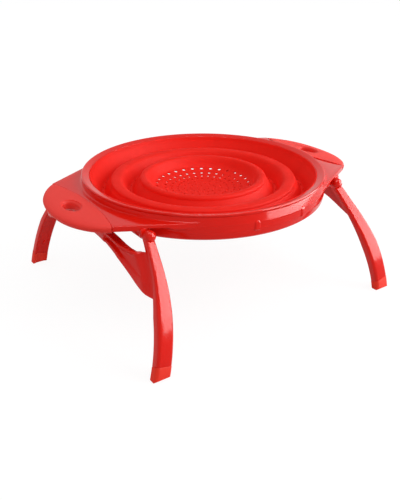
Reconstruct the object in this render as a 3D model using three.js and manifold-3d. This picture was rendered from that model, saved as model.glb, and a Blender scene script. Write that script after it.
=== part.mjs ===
// Collapsible colander: a silicone bowl in a rigid ring, with two handles and two folding leg frames.
// Millimetres, +Z up. The origin is on the table, below the centre of the bowl, handles along X.
import * as THREE from 'three';
import { mergeVertices } from 'three/addons/utils/BufferGeometryUtils.js';
import Module from 'manifold-3d';

const wasm = await Module();
wasm.setup();

// Driving dimensions of the ring
const rimRadius = 125;
const ringDepth = 25;
const ringWall = 2.4;
const ringDraft = 2.6;
const clearance = 0.3;
const ringSteps = 48;
const facetTolerance = 0.005;

// Clamp ring that traps the edge of the silicone bowl
const clampWidth = 7.2;
const clampThickness = 1.7;
const clampFunnel = 2;

// Silicone bowl, folded flat as in the photograph
const siliconeWall = 2;
const flangeWidth = 4.8;
const lipTuck = 7.6;
const grooveDepth = 22.3;
const crestDrop = 8.2;
const outerGrooveInset = rimRadius * 0.16;
const outerCrestInset = outerGrooveInset + 8.6;
const outerCrestWidth = 12.4;
const innerGrooveInset = outerCrestInset + rimRadius * 0.16;
const innerCrestInset = innerGrooveInset + 10.4;
const innerCrestWidth = 6;
const dishFloorDrop = 17.8;
const dishCentreDrop = 22.6;

// Drain holes
const drainSpokes = 30;
const spokePhase = THREE.MathUtils.degToRad(9);
const wallDrainCount = 45;
const wallDrainPhase = THREE.MathUtils.degToRad(1);
const dishSteps = 30;
const dishTurn = THREE.MathUtils.degToRad(9);
const drainSides = 4;
const rimDrainRadius = 1.9;
const grooveDrainRadius = 1.2;

// Handles
const wingDrop = 7.6;
const wingThickness = 5.4;
const wingPlate = 2.4;
const wingEdge = 2.2;
const wingFillet = 3;
const gripCorner = new THREE.Vector2(rimRadius + 16.4, 64.4);
const gripReach = rimRadius + 44.6;
const gripOval = new THREE.Vector2(rimRadius - 17, 75);
const gripRoundness = 2.15;
const gripBow = 8.6;
const tongueInset = 9;
const hangHole = new THREE.Vector2(6.4, 12.6);
const hangHoleReach = rimRadius + 24.8;
const hangHoleEdge = 1.6;

// Legs: each frame folds round the ring, so its legs are arcs about the ring's own centre
const hingeInset = 10.7;
const hingeDrop = 17.2;
const hingeOverhang = 2;
const splay = THREE.MathUtils.degToRad(13);
const legGap = 6.4;
const legThickness = 9;
const legWidth = 16.4;
const legLean = 0.4;
const channelDepth = 1;
const footGap = 1.06;
const footChamfer = 1.3;
const capHeight = 14.1;
const capSlant = 1.1;
const capSkin = 0.4;
const tenonLength = 7;
const tenonInset = 1.7;
const eyeRadius = 5.8;
const eyeThickness = 7;
const knuckleRadius = 7;
const pinRadius = 2.2;
const pinHeadRadius = 5.2;
const pinBallReach = 2.4;
const pinSteps = 12;
const strapGap = 8.2;
const strapPad = 34;
const detentAngle = THREE.MathUtils.degToRad(12.4);

// Worked out from the dimensions above
const hingeX = rimRadius - hingeInset;
const legRadius = rimRadius + legGap + legThickness / 2;
const footReach = hingeX - footGap;
const footSlope = Math.tan(splay);
const hingeHeight = (footReach - (legWidth / 2 + legLean - footChamfer) * footSlope) * Math.cos(splay);
const standHeight = hingeHeight + hingeDrop;
const outerGroove = rimRadius - outerGrooveInset;
const outerCrest = rimRadius - outerCrestInset;
const innerGroove = rimRadius - innerGrooveInset;
const innerCrest = rimRadius - innerCrestInset;
const dishRim = innerCrest - innerCrestWidth;

const paint = {
  frame: new THREE.MeshStandardMaterial({ color: 0xe02222, roughness: 0.18, metalness: 0 }),
  silicone: new THREE.MeshStandardMaterial({ color: 0xee2620, roughness: 0.45, metalness: 0 }),
  grip: new THREE.MeshStandardMaterial({ color: 0xe23c36, roughness: 0.6, metalness: 0 }),
  shoe: new THREE.MeshStandardMaterial({ color: 0xf03c28, roughness: 0.55, metalness: 0 }),
  pin: new THREE.MeshStandardMaterial({ color: 0xdc1e1c, roughness: 0.2, metalness: 0 }),
};

// Makes a solid of a closed mesh, turned the right way out
function toSolid(geometry) {
  const bare = geometry.clone();
  bare.deleteAttribute('normal');
  bare.deleteAttribute('uv');
  const merged = mergeVertices(bare, 1e-4);
  const points = merged.getAttribute('position').array;
  const faces = Uint32Array.from(merged.getIndex().array);
  let volume = 0;
  const corner = [new THREE.Vector3(), new THREE.Vector3(), new THREE.Vector3()];
  for (let i = 0; i < faces.length; i += 3) {
    corner.forEach((v, k) => v.fromArray(points, 3 * faces[i + k]));
    volume += corner[0].dot(corner[1].clone().cross(corner[2]));
  }
  if (volume < 0) {
    for (let i = 0; i < faces.length; i += 3) {
      [faces[i], faces[i + 1]] = [faces[i + 1], faces[i]];
    }
  }
  const mesh = new wasm.Mesh({ numProp: 3, vertProperties: points, triVerts: faces });
  mesh.merge();
  return new wasm.Manifold(mesh);
}

function toGeometry(solid) {
  const mesh = solid.asOriginal().simplify(facetTolerance).getMesh();
  const geometry = new THREE.BufferGeometry();
  geometry.setAttribute('position', new THREE.BufferAttribute(mesh.vertProperties, 3));
  geometry.setIndex(new THREE.BufferAttribute(mesh.triVerts, 1));
  geometry.computeVertexNormals();
  return geometry;
}

function joined(solids) {
  return solids.reduce((whole, next) => whole.add(next));
}

function placed(geometry, x, y, z) {
  return geometry.clone().translate(x, y, z);
}

// Half a turn about Z: the object is the same from either handle
function turned(geometry) {
  return geometry.clone().rotateZ(Math.PI);
}

// Revolves a closed profile of [radius, height] pairs about Z
function revolved(profile, steps = ringSteps, turn = 0) {
  const points = profile.map(([r, z]) => new THREE.Vector2(r, z));
  if (profile[0][0] > 0) {
    points.push(points[0].clone());
  }
  return new THREE.LatheGeometry(points, steps).rotateX(Math.PI / 2).rotateZ(turn);
}

// Extrudes an outline that lies in XY from one height to another
function prism(outline, low, high, curveSegments = 12) {
  const shape = outline instanceof THREE.Shape ? outline : new THREE.Shape(outline);
  const options = { depth: high - low, bevelEnabled: false, curveSegments };
  return new THREE.ExtrudeGeometry(shape, options).translate(0, 0, low);
}

function box(x0, x1, y0, y1, z0, z1) {
  return new THREE.BoxGeometry(x1 - x0, y1 - y0, z1 - z0).translate((x0 + x1) / 2, (y0 + y1) / 2, (z0 + z1) / 2);
}

// A round bar along Y from y0 to y1
function barY(radius, y0, y1, x, z, steps = pinSteps) {
  return placed(new THREE.CylinderGeometry(radius, radius, y1 - y0, steps), x, (y0 + y1) / 2, z);
}

// Faces that close an outline. A slight bulge keeps points on a straight edge from being dropped.
function capFaces(outline) {
  const centre = outline.reduce((sum, p) => sum.add(p), new THREE.Vector2()).divideScalar(outline.length);
  const bulged = outline.map((p) => {
    const arm = p.clone().sub(centre);
    return arm.multiplyScalar(1 - 1e-6 * arm.lengthSq());
  });
  const faces = THREE.ShapeUtils.triangulateShape(bulged, []);
  return THREE.ShapeUtils.isClockWise(outline) ? faces.map(([a, b, c]) => [a, c, b]) : faces;
}

// Joins rings of points into one skin. A section is an outline of Vector2 with a rule that puts it in space.
function loft(sections) {
  const count = sections[0].outline.length;
  const positions = [];
  sections.forEach(({ outline, place }) => outline.forEach((p) => positions.push(...place(p).toArray())));
  const index = [];
  for (let s = 0; s < sections.length - 1; s++) {
    for (let i = 0; i < count; i++) {
      const a = s * count + i;
      const b = s * count + ((i + 1) % count);
      index.push(a, b, b + count, a, b + count, a + count);
    }
  }
  const last = (sections.length - 1) * count;
  capFaces(sections[0].outline).forEach(([a, b, c]) => index.push(a, c, b));
  capFaces(sections.at(-1).outline).forEach(([a, b, c]) => index.push(last + a, last + b, last + c));
  const geometry = new THREE.BufferGeometry();
  geometry.setAttribute('position', new THREE.Float32BufferAttribute(positions, 3));
  geometry.setIndex(index);
  return geometry;
}

// Plan of one handle
const cornerAngle = Math.atan2(gripCorner.y, gripCorner.x);
const tangentAngle = cornerAngle + Math.acos(rimRadius / gripCorner.length());
const tangent = new THREE.Vector2(rimRadius * Math.cos(tangentAngle), rimRadius * Math.sin(tangentAngle));

// Where the straight edge of the wing runs at a given x
function wingEdgeY(x) {
  return gripCorner.y + ((x - gripCorner.x) * (tangent.y - gripCorner.y)) / (tangent.x - gripCorner.x);
}

// The curve where plate and grip meet bows towards the ring
function gripSeamX(y, inset = 0) {
  const t = y / gripCorner.y;
  return gripCorner.x - gripBow * (1 - t * t) + inset;
}

// The outer end of the grip is part of a wide oval
function gripEndX(y, inset = 0) {
  const t = Math.min(1, Math.abs(y) / (gripOval.y - inset));
  return gripOval.x + (gripReach - inset - gripOval.x) * Math.pow(1 - Math.pow(t, gripRoundness), 1 / gripRoundness);
}

// Half the length of the outline at an inset: where it comes back to the seam
function gripHalf(inset) {
  let [inside, outside] = [0, gripCorner.y + 0.4];
  for (let i = 0; i < 30; i++) {
    const y = (inside + outside) / 2;
    if (gripEndX(y, inset) > gripSeamX(y) + 0.2) {
      inside = y;
    } else {
      outside = y;
    }
  }
  return inside;
}

function gripSide(inset, steps) {
  const half = gripHalf(inset);
  const points = [];
  for (let i = 0; i <= steps; i++) {
    const y = -half * Math.cos((Math.PI * i) / steps);
    points.push(new THREE.Vector2(Math.max(gripEndX(y, inset), gripSeamX(y)), y));
  }
  return points;
}

// Ring wall with its bead, the ledge that carries the bowl and the wings' plates
function ringProfile() {
  const top = clampThickness + clearance;
  const ledgeTop = top + 1.6 + siliconeWall + 0.1;
  const inside = rimRadius - ringWall + 0.3;
  const ledgeInside = rimRadius - lipTuck + 1;
  return [
    [inside, -top],
    [rimRadius + 0.3, -top],
    [rimRadius + 0.9, -top - 0.9],
    [rimRadius + 0.9, -top - 2.2],
    [rimRadius, -top - 3.4],
    [rimRadius - ringDraft * 0.45, -ringDepth * 0.72],
    [rimRadius - ringDraft, -ringDepth + 1],
    [rimRadius - ringDraft - 0.7, -ringDepth],
    [rimRadius - ringDraft - ringWall, -ringDepth],
    [inside - 0.8, -ledgeTop - 3.4],
    [ledgeInside, -ledgeTop - 2],
    [ledgeInside, -ledgeTop],
    [inside, -ledgeTop],
  ];
}

function wingOutline() {
  const steps = 10;
  const outline = [new THREE.Vector2(tangent.x, -tangent.y)];
  for (let i = 0; i <= steps; i++) {
    const y = gripCorner.y * ((2 * i) / steps - 1);
    outline.push(new THREE.Vector2(gripSeamX(y, -clearance), y));
  }
  outline.push(tangent.clone());
  outline.push(new THREE.Vector2(rimRadius * 0.4, 0));
  return outline;
}

// The plate's underside is hollow inside its edge flange
function wingPocket() {
  const steps = 6;
  const reach = wingEdge + 0.4;
  const span = gripCorner.y - 2 * wingEdge;
  const outline = [];
  for (let i = 0; i <= steps; i++) {
    const y = span * ((2 * i) / steps - 1);
    outline.push(new THREE.Vector2(gripSeamX(y, -reach), y));
  }
  const back = 20;
  outline.push(new THREE.Vector2(gripCorner.x - back - 6, wingEdgeY(gripCorner.x - back - 6) - reach));
  outline.push(new THREE.Vector2(hingeX - 30, wingEdgeY(hingeX - 30) - reach));
  outline.push(new THREE.Vector2(hingeX - 30, reach - wingEdgeY(hingeX - 30)));
  outline.push(new THREE.Vector2(gripCorner.x - back - 6, reach - wingEdgeY(gripCorner.x - back - 6)));
  return outline;
}

// Tongue that carries the grip, thinner than the plate
const tongueTop = wingDrop + wingPlate;

function tongueOutline(grow, inner) {
  const steps = 12;
  const half = gripCorner.y - 5 + grow;
  const outline = [new THREE.Vector2(inner, -half)];
  for (let i = 0; i <= steps; i++) {
    const y = -half * Math.cos((Math.PI * i) / steps);
    outline.push(new THREE.Vector2(gripEndX(y, tongueInset - grow), y));
  }
  outline.push(new THREE.Vector2(inner, half));
  return outline;
}

function ovalHole(grow, low, high, steps = 20) {
  const shape = new THREE.Shape();
  shape.absellipse(hangHoleReach, 0, hangHole.x + grow, hangHole.y + grow, 0, 2 * Math.PI, false, 0);
  return prism(shape, low, high, steps / 2);
}

// Knuckle block under the wing, between the ring wall and the eye of the leg
const edgeAtHinge = wingEdgeY(hingeX);
const eyeOuter = edgeAtHinge + hingeOverhang;
const eyeInner = eyeOuter - eyeThickness;

function knuckle(side) {
  const outline = new THREE.Shape();
  outline.moveTo(-knuckleRadius, hingeDrop - wingDrop - 1);
  outline.lineTo(-knuckleRadius, 0);
  outline.absarc(0, 0, knuckleRadius, Math.PI, 2 * Math.PI, false);
  outline.lineTo(knuckleRadius, hingeDrop - wingDrop - 1);
  const start = Math.sqrt(rimRadius ** 2 - hingeX ** 2) - 8;
  const length = eyeInner - clearance - start;
  const options = { depth: length, bevelEnabled: false, curveSegments: 6 };
  const block = new THREE.ExtrudeGeometry(outline, options).rotateX(Math.PI / 2);
  return placed(block, hingeX, side > 0 ? eyeInner - clearance : -start, -hingeDrop);
}

// Slot in the wing's edge flange that the folded leg's neck lies in
const neckRise = 6.2;

function neckSlot(side) {
  const [near, far] = [eyeInner - clearance, eyeOuter + 9];
  const top = neckRise + 1.5 * clearance - hingeDrop;
  const low = top - 8;
  const flange = -wingDrop - 5.5;
  const outline = new THREE.Shape([
    new THREE.Vector2(hingeX, top),
    new THREE.Vector2(hingeX - 15, top),
    new THREE.Vector2(hingeX - 24, flange),
    new THREE.Vector2(hingeX - 24, low),
    new THREE.Vector2(hingeX, low),
  ]);
  return prism(outline, side > 0 ? -far : near, side > 0 ? -near : far).rotateX(Math.PI / 2);
}

function detentClips() {
  const clips = [];
  const height = 13;
  const outline = new THREE.Shape();
  outline.moveTo(-2.6, 0);
  outline.lineTo(2.6, 0);
  outline.lineTo(1.9, height);
  outline.lineTo(-1.9, height);
  const nose = new THREE.Shape();
  nose.moveTo(rimRadius - 3, -hingeDrop - 3);
  nose.lineTo(rimRadius + 1, -hingeDrop - 3);
  nose.lineTo(rimRadius + 2.2, -hingeDrop + 0.5);
  nose.lineTo(rimRadius + 0.9, -hingeDrop + height - 4);
  nose.lineTo(rimRadius - 3, -hingeDrop + height - 4);
  for (const middle of [-Math.PI / 2, Math.PI / 2]) {
    for (const way of [-1, 1]) {
      const rib = new THREE.ExtrudeGeometry(nose, { depth: 4.4, bevelEnabled: false });
      rib.rotateX(Math.PI / 2).translate(0, 2.2, 0);
      clips.push(toSolid(rib.rotateZ(middle + way * detentAngle)));
    }
  }
  return clips;
}

// Fillet between the ring wall and the top of the wings
function wingFilletRing() {
  const foot = rimRadius - ringDraft * 0.3;
  return revolved([
    [foot - 1.5, -wingDrop - 1],
    [foot + wingFillet, -wingDrop - 1],
    [foot + wingFillet, -wingDrop + 0.05],
    [foot + 0.9, -wingDrop + 0.9],
    [foot - 0.2, -wingDrop + wingFillet],
  ]);
}

function outerFrame() {
  const ring = toSolid(revolved(ringProfile()));
  const wingBottom = -wingDrop - wingThickness;
  const bore = toSolid(revolved([
    [0, 20],
    [rimRadius - ringDraft, 20],
    [rimRadius - ringDraft, -ringDepth - 20],
    [0, -ringDepth - 20],
  ]));
  let wings = [];
  for (const way of [(g) => g, turned]) {
    const plate = toSolid(way(prism(wingOutline(), wingBottom, -wingDrop)));
    const pocket = toSolid(way(prism(wingPocket(), wingBottom - 1, -wingDrop - wingPlate)));
    const tongueInner = gripSeamX(0) - 6;
    const tongueLow = -tongueTop - wingPlate;
    const tongue = toSolid(way(prism(tongueOutline(0, tongueInner), tongueLow, -tongueTop)))
      .subtract(toSolid(way(ovalHole(2.6, tongueLow - 1, -tongueTop + 1))));
    const outline = toSolid(way(prism(wingOutline(), wingBottom - 1, 0)));
    const fillet = toSolid(wingFilletRing()).intersect(outline);
    let wing = plate.subtract(pocket).add(tongue).add(fillet);
    wing = wing.subtract(bore);
    for (const side of [-1, 1]) {
      const relief = barY(eyeRadius + 2 * clearance, eyeInner - clearance, eyeOuter + 9, 0, 0);
      const hole = barY(pinRadius + clearance, 0, rimRadius, 0, 0);
      const block = toSolid(way(knuckle(side))).subtract(bore);
      wing = wing.add(block);
      const flip = side > 0 ? (g) => g : (g) => g.clone().rotateZ(Math.PI);
      wing = wing.subtract(toSolid(way(placed(flip(relief), hingeX, 0, -hingeDrop))));
      wing = wing.subtract(toSolid(way(placed(flip(hole), hingeX, 0, -hingeDrop))));
      wing = wing.subtract(toSolid(way(neckSlot(side))));
    }
    wings.push(wing);
  }
  return joined([ring, ...wings, ...detentClips()]);
}

// Clamp ring: a shallow funnel with a rib that presses on the bowl's flange
function clampRing() {
  const outside = rimRadius + 0.3;
  const inside = rimRadius - clampWidth;
  const ribOutside = rimRadius - ringWall;
  return toSolid(revolved([
    [inside, -clampFunnel],
    [outside - 0.9, 0],
    [outside, -clampThickness],
    [ribOutside, -clampThickness],
    [ribOutside, -clampThickness - 1.6],
    [inside, -clampThickness - 1.6],
  ]));
}

// One prism for each drain hole of a row. Each hole keeps to one facet of the bowl.
function drains(radius, drop, count, holeRadius, phase, lean = 0) {
  const length = 8;
  const holes = [];
  for (let i = 0; i < count; i++) {
    const hole = new THREE.CylinderGeometry(holeRadius, holeRadius, length, drainSides);
    hole.rotateX(Math.PI / 2).rotateY(lean).translate(radius, 0, -drop);
    hole.rotateZ(phase + (i * 2 * Math.PI) / count);
    holes.push(toSolid(hole));
  }
  return joined(holes);
}

// Steepest lines of the folded bowl, as [radius, drop] along its upper surface
const wallTop = [rimRadius - lipTuck - 1.1, 2.3];
const wallMid = [rimRadius - 9.7, 6];
const wallLow = [outerGroove + 3.4, grooveDepth - 4.4];
const grooveHalf = 1.6;

function bowlOuterWall() {
  const flangeTop = clampThickness + 1.6 + clearance;
  const lip = rimRadius - clampWidth - clearance;
  const flangeOut = rimRadius - ringWall;
  const body = toSolid(revolved([
    [flangeOut, -flangeTop],
    [lip, -flangeTop],
    [lip, -2.4],
    [wallTop[0], -2],
    [wallMid[0], -wallMid[1]],
    [wallLow[0], -wallLow[1]],
    [outerGroove + 1.3, -grooveDepth],
    [outerGroove - grooveHalf, -grooveDepth],
    [outerGroove - grooveHalf, -grooveDepth - siliconeWall],
    [outerGroove + 1.6, -grooveDepth - siliconeWall],
    [wallLow[0] + 1.9, -wallLow[1] - 0.9],
    [lip - 0.4, -flangeTop - siliconeWall],
    [flangeOut, -flangeTop - siliconeWall],
  ]));
  return body.subtract(drains(outerGroove - 0.15, grooveDepth, wallDrainCount, grooveDrainRadius, wallDrainPhase));
}

// A fold is the wall that turns inside out between a groove and the next crest
function foldWall(groove, crest) {
  const low = groove - grooveHalf - clearance;
  const high = crest + clearance;
  const top = -crestDrop - 3;
  return toSolid(revolved([
    [low, -grooveDepth],
    [low - 1.2, -grooveDepth + 0.8],
    [high + 0.5, top + 0.4],
    [high - 1.3, top - 0.7],
    [low - 2.4, -grooveDepth - 1],
    [low, -grooveDepth - siliconeWall],
  ]));
}

// Crest and falling wall of the ring between the two folds
function bowlMiddleRing() {
  const inner = outerCrest - outerCrestWidth;
  const body = toSolid(revolved([
    [outerCrest, -crestDrop - 2.9],
    [outerCrest - 1.4, -crestDrop - 0.5],
    [outerCrest - 5, -crestDrop],
    [inner, -crestDrop - 1.3],
    [innerGroove + 1.4, -grooveDepth],
    [innerGroove - grooveHalf, -grooveDepth],
    [innerGroove - grooveHalf, -grooveDepth - siliconeWall],
    [innerGroove + 2, -grooveDepth - siliconeWall + 0.1],
    [inner + 0.6, -crestDrop - 3.1],
    [outerCrest - 4, -crestDrop - siliconeWall],
    [outerCrest - 1.8, -crestDrop - 4],
  ]));
  return body.subtract(drains(innerGroove - 0.1, grooveDepth, drainSpokes, grooveDrainRadius, spokePhase));
}

// Rows of holes in the dish. Their places are shares of the dish's radius, and their sizes shrink with it.
const dishHole = grooveDrainRadius * (dishRim / 55);
const dishDrainRows = [
  { radius: dishRim * 0.8, drop: dishFloorDrop, hole: rimDrainRadius, count: drainSpokes, lean: 0.25 },
  { radius: dishRim * 0.653, drop: dishCentreDrop - 2.6, hole: dishHole * 1.15, count: drainSpokes, lean: 0.2 },
  { radius: dishRim * 0.545, drop: dishCentreDrop - 1.2, hole: dishHole, count: drainSpokes, lean: 0.1 },
  { radius: dishRim * 0.433, drop: dishCentreDrop - 0.6, hole: dishHole, count: drainSpokes / 2, lean: 0 },
  { radius: dishRim * 0.317, drop: dishCentreDrop - 0.6, hole: dishHole, count: drainSpokes / 2, lean: 0 },
  { radius: dishRim * 0.2, drop: dishCentreDrop - 0.6, hole: dishHole, count: drainSpokes / 3, lean: 0 },
  { radius: dishRim * 0.092, drop: dishCentreDrop - 0.6, hole: dishHole, count: drainSpokes / 5, lean: 0 },
];

// Centre dish with the drain holes. Its floor is flat inside the outer three rows.
function bowlCentreDish() {
  const t = siliconeWall;
  const floor = dishRim / 2;
  const shoulder = dishRim * 0.717;
  const wallFoot = dishRim * 0.84;
  const floorDrop = dishCentreDrop - 0.6;
  const body = toSolid(revolved([
    [floor, -floorDrop],
    [shoulder, -dishFloorDrop - 1.4],
    [wallFoot, -dishFloorDrop + 0.7],
    [dishRim - 1.4, -crestDrop - 1.4],
    [innerCrest - 2.6, -crestDrop],
    [innerCrest - 0.7, -crestDrop - 1],
    [innerCrest, -crestDrop - 2.9],
    [innerCrest - 1.8, -crestDrop - 4],
    [dishRim + 0.5, -crestDrop - t - 0.7],
    [wallFoot + t / 2, -dishFloorDrop - 1.2],
    [shoulder, -dishFloorDrop - 1.4 - t],
    [floor, -floorDrop - t],
  ], dishSteps, dishTurn));
  const disc = [];
  for (let i = 0; i < dishSteps; i++) {
    const angle = (i * 2 * Math.PI) / dishSteps;
    disc.push(new THREE.Vector2(floor * Math.sin(angle), -floor * Math.cos(angle)));
  }
  const floorSolid = toSolid(prism(disc, -floorDrop - t, -floorDrop).rotateZ(dishTurn));
  const holes = dishDrainRows.map((row) =>
    drains(row.radius, row.drop, row.count, row.hole, spokePhase, row.lean));
  return body.add(floorSolid).subtract(joined(holes));
}

// Heights of the grip's skin, from the top inwards round the edge to the underside. Each row gives the inset
// from the widest outline, and how far the skin lies below the wing's top at the corners and in the middle.
const gripSkin = [
  [14, -0.7, 0.3],
  [6, -0.5, 1.2],
  [1.6, 0.3, 2.8],
  [0, 2.4, 4.8],
  [1.4, 6.4, 8.3],
  [5, 8.2, 10],
];

// Soft grip: a lens-shaped pad moulded round the tongue, with an oval hole to hang it by
function grip() {
  const steps = 16;
  const seamSteps = 8;
  const sections = gripSkin.map(([inset, corner, middle]) => {
    const side = gripSide(inset, steps);
    const half = side.at(-1).y;
    const outline = [...side];
    for (let i = 0; i < seamSteps; i++) {
      const y = half - ((2 * half * (i + 0.5)) / seamSteps);
      outline.push(new THREE.Vector2(gripSeamX(y), y));
    }
    const sag = (p) => {
      const across = Math.max(0, 1 - (p.y / gripCorner.y) ** 2);
      return corner + (middle - corner) * across * Math.min(1, (p.x - gripSeamX(0)) / 15);
    };
    return { outline, place: (p) => new THREE.Vector3(p.x, p.y, -wingDrop - sag(p)) };
  });
  const low = -wingDrop - wingThickness - 8;
  const pocketLow = -tongueTop - wingPlate - clearance;
  const pocket = toSolid(prism(tongueOutline(clearance, gripSeamX(0) - 10), pocketLow, -tongueTop + clearance))
    .subtract(toSolid(ovalHole(2.6 - clearance, low, 0)));
  const mouth = placed(prism(ovalEdge(), 0, 4), 0, 0, -wingDrop - 1.8);
  return toSolid(loft(sections))
    .subtract(pocket)
    .subtract(toSolid(ovalHole(0, low, 10)))
    .subtract(toSolid(mouth));
}

function ovalEdge() {
  const shape = new THREE.Shape();
  shape.absellipse(hangHoleReach, 0, hangHole.x + hangHoleEdge, hangHole.y + hangHoleEdge, 0, 2 * Math.PI, false, 0);
  return shape;
}

// Leg frames are drawn folded, with the hinge axis at the origin: -X runs down the leg, -Z faces outwards
const neckLength = 22;
const arcStart = new THREE.Vector2(hingeX - neckLength, Math.sqrt(legRadius ** 2 - (hingeX - neckLength) ** 2));
const eyeMiddle = new THREE.Vector2(hingeX, (eyeInner + eyeOuter) / 2);
const arcTangent = new THREE.Vector2(arcStart.y, -arcStart.x).normalize();
const neckCurve = new THREE.QuadraticBezierCurve(
  arcStart,
  arcStart.clone().addScaledVector(arcTangent, neckLength * 0.62),
  eyeMiddle,
);

// Middle of the leg, and its outward direction, a distance v down from the hinge
function legStation(v) {
  if (v >= neckLength) {
    const x = hingeX - v;
    const middle = new THREE.Vector2(x, Math.sqrt(legRadius ** 2 - x ** 2));
    return { middle, out: middle.clone().normalize() };
  }
  const t = 1 - v / neckLength;
  const along = neckCurve.getTangent(t);
  return { middle: neckCurve.getPoint(t), out: new THREE.Vector2(-along.y, along.x) };
}

// Cross-section: x is outwards from the ring, y across the leg. The inner face has a shallow channel.
function legOutline(thickness, low, high, channel) {
  const half = thickness / 2;
  const mid = (low + high) / 2;
  const edge = thickness * 0.27;
  const side = thickness * 0.46;
  const face = (high - low) * 0.2;
  return [
    new THREE.Vector2(half, mid + face),
    new THREE.Vector2(half - edge, high - 0.5),
    new THREE.Vector2(half - side, high),
    new THREE.Vector2(-half, high - 0.4),
    new THREE.Vector2(-half, high - 2),
    new THREE.Vector2(-half + channel, high - 2.8),
    new THREE.Vector2(-half + channel, low + 2.8),
    new THREE.Vector2(-half, low + 2),
    new THREE.Vector2(-half, low + 0.4),
    new THREE.Vector2(half - side, low),
    new THREE.Vector2(half - edge, low + 0.5),
    new THREE.Vector2(half, mid - face),
  ];
}

function legSection(v, thickness, low, high, channel, slant = 0) {
  const place = (p) => {
    const { middle, out } = legStation(v - (slant * p.x) / (legThickness / 2));
    return new THREE.Vector3(middle.x + out.x * p.x - hingeX, middle.y + out.y * p.x, p.y);
  };
  return { outline: legOutline(thickness, low, high, channel), place };
}

const legLow = -legWidth / 2 - legLean;
const legHigh = legWidth / 2 - legLean;

// The leg's neck at the eye: distance down, thickness, outer and inner edge, channel depth
const legNeck = [
  [0, 6.4, -4.6, 5, 0],
  [5, 6.4, -4.6, 5.2, 0],
  [9, 6.3, -5, neckRise - 0.6, 0.1],
  [neckLength - 4, 6.2, -5.2, neckRise, 0.3],
  [neckLength + 12, 6.8, -6.4, 7.2, 0.8],
  [neckLength + 24, 7.9, -7.6, 7.6, channelDepth],
];

// The leg swells from its neck to the full width
function legSections(last) {
  const sections = legNeck.map((row) => legSection(...row));
  const steps = 5;
  const start = neckLength + 36;
  for (let i = 0; i < steps; i++) {
    const v = start + ((last - start) * i) / steps;
    sections.push(legSection(v, legThickness, legLow, legHigh, channelDepth));
  }
  sections.push(legSection(last, legThickness, legLow, legHigh, channelDepth, capSlant));
  return sections;
}

const seamV = footReach - capHeight;

function leg() {
  const inset = tenonInset;
  const sections = legSections(seamV);
  const thin = legThickness - 2 * inset;
  sections.push(legSection(seamV, thin, legLow + inset, legHigh - inset, 0, capSlant));
  sections.push(legSection(seamV + tenonLength, thin, legLow + inset, legHigh - inset, 0));
  return toSolid(loft(sections));
}

// Short rib on the inside of the leg that meets the ring's clip when the leg is folded
function legDetent() {
  const radius = legRadius - legThickness / 2;
  const proud = 0.7;
  const root = channelDepth + 0.5;
  const rib = new THREE.CylinderGeometry(1, 1.5, proud + root, 10).rotateZ(Math.PI / 2).scale(1, 2.2, 0.9);
  rib.translate(radius + (root - proud) / 2, 0, 0.8).rotateZ(Math.PI / 2 - detentAngle);
  return toSolid(rib.translate(-hingeX, 0, 0));
}

// Strap between the two legs of a frame, as distances down from the hinge at each y, drawn for this leg radius
const strapDrawnRadius = 135.9;
const strapTop = [[0, 10.8], [43, 13.2], [62, 15], [78, 14.8], [90, 12], [116, 11]];
const strapLow = [[0, 21.2], [22, 21.6], [39, 23.7], [55, 27.2], [67, 32.3], [78, 37.4], [89, 42.3], [102, 45.5], [116, 45.6]];
const strapFace = [[0, 17], [55, 17], [67, 15], [78, 12.8], [89, 11.2], [102, 10.2], [116, 9.6]];

// Reads a smooth curve through [y, value] pairs
function readCurve(pairs, y) {
  const curve = new THREE.SplineCurve(pairs.map(([x, value]) => new THREE.Vector2(x, value)));
  const points = curve.getPoints(80);
  const next = Math.max(1, points.findIndex((p) => p.x >= y));
  const [a, b] = [points[next - 1], points[next]];
  return a.y + ((b.y - a.y) * (y - a.x)) / (b.x - a.x);
}

// How far the leg's outer face stands out, v down from the hinge
function legFaceAt(v) {
  const rows = legNeck.map(([at, , low]) => [at, -low]).concat([[neckLength + 36, -legLow], [200, -legLow]]);
  const next = Math.max(1, rows.findIndex(([at]) => at >= v));
  const [a, b] = [rows[next - 1], rows[next]];
  return a[1] + ((b[1] - a[1]) * (v - a[0])) / (b[0] - a[0]);
}

// One half from the flat pad in the middle to the leg, with a hollow channel along its outer face
function strapSection(y) {
  const drawn = legRadius / strapDrawnRadius;
  const across = Math.abs(y) / drawn;
  const top = readCurve(strapTop, across) * drawn;
  const low = readCurve(strapLow, across) * drawn;
  const out = strapGap + (readCurve(strapFace, across) - 8.2) * drawn;
  const hollow = across > strapPad && across < 101 ? (out - strapGap) * 0.46 : 0;
  const inn = across > 72 ? 4 : strapGap;
  const lip = top + 2.4;
  const border = low - (low - top) * 0.28;
  const face = (v, depth) => {
    const fromAxis = Math.hypot(hingeX - v, y);
    const inLeg = THREE.MathUtils.smoothstep(fromAxis, legRadius - 10.9, legRadius - 3.9);
    return new THREE.Vector2(v, (out - depth) * (1 - inLeg) + (legFaceAt(v) - 0.5) * inLeg);
  };
  const outline = [
    new THREE.Vector2(top, inn),
    face(top + 0.3, 0.8),
    face(top + 1, 0),
    face(lip, 0.2),
    face(lip + 1.6, 0.2 + hollow * 0.75),
    face(lip + 3.4, 0.25 + hollow),
    face(lip + 3.4 + (border - lip - 4.6) * 0.35, 0.3 + hollow),
    face(lip + 3.4 + (border - lip - 4.6) * 0.7, 0.35 + hollow * 0.95),
    face(border - 1.2, 0.4 + hollow * 0.8),
    face(border, 0.4 + hollow * 0.25),
    face(low - 1, 0.45 + hollow * 0.2),
    face(low, 1.2 + hollow * 0.2),
    new THREE.Vector2(low, inn),
  ];
  return { outline, place: (p) => new THREE.Vector3(-p.x, y, -p.y) };
}

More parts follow.
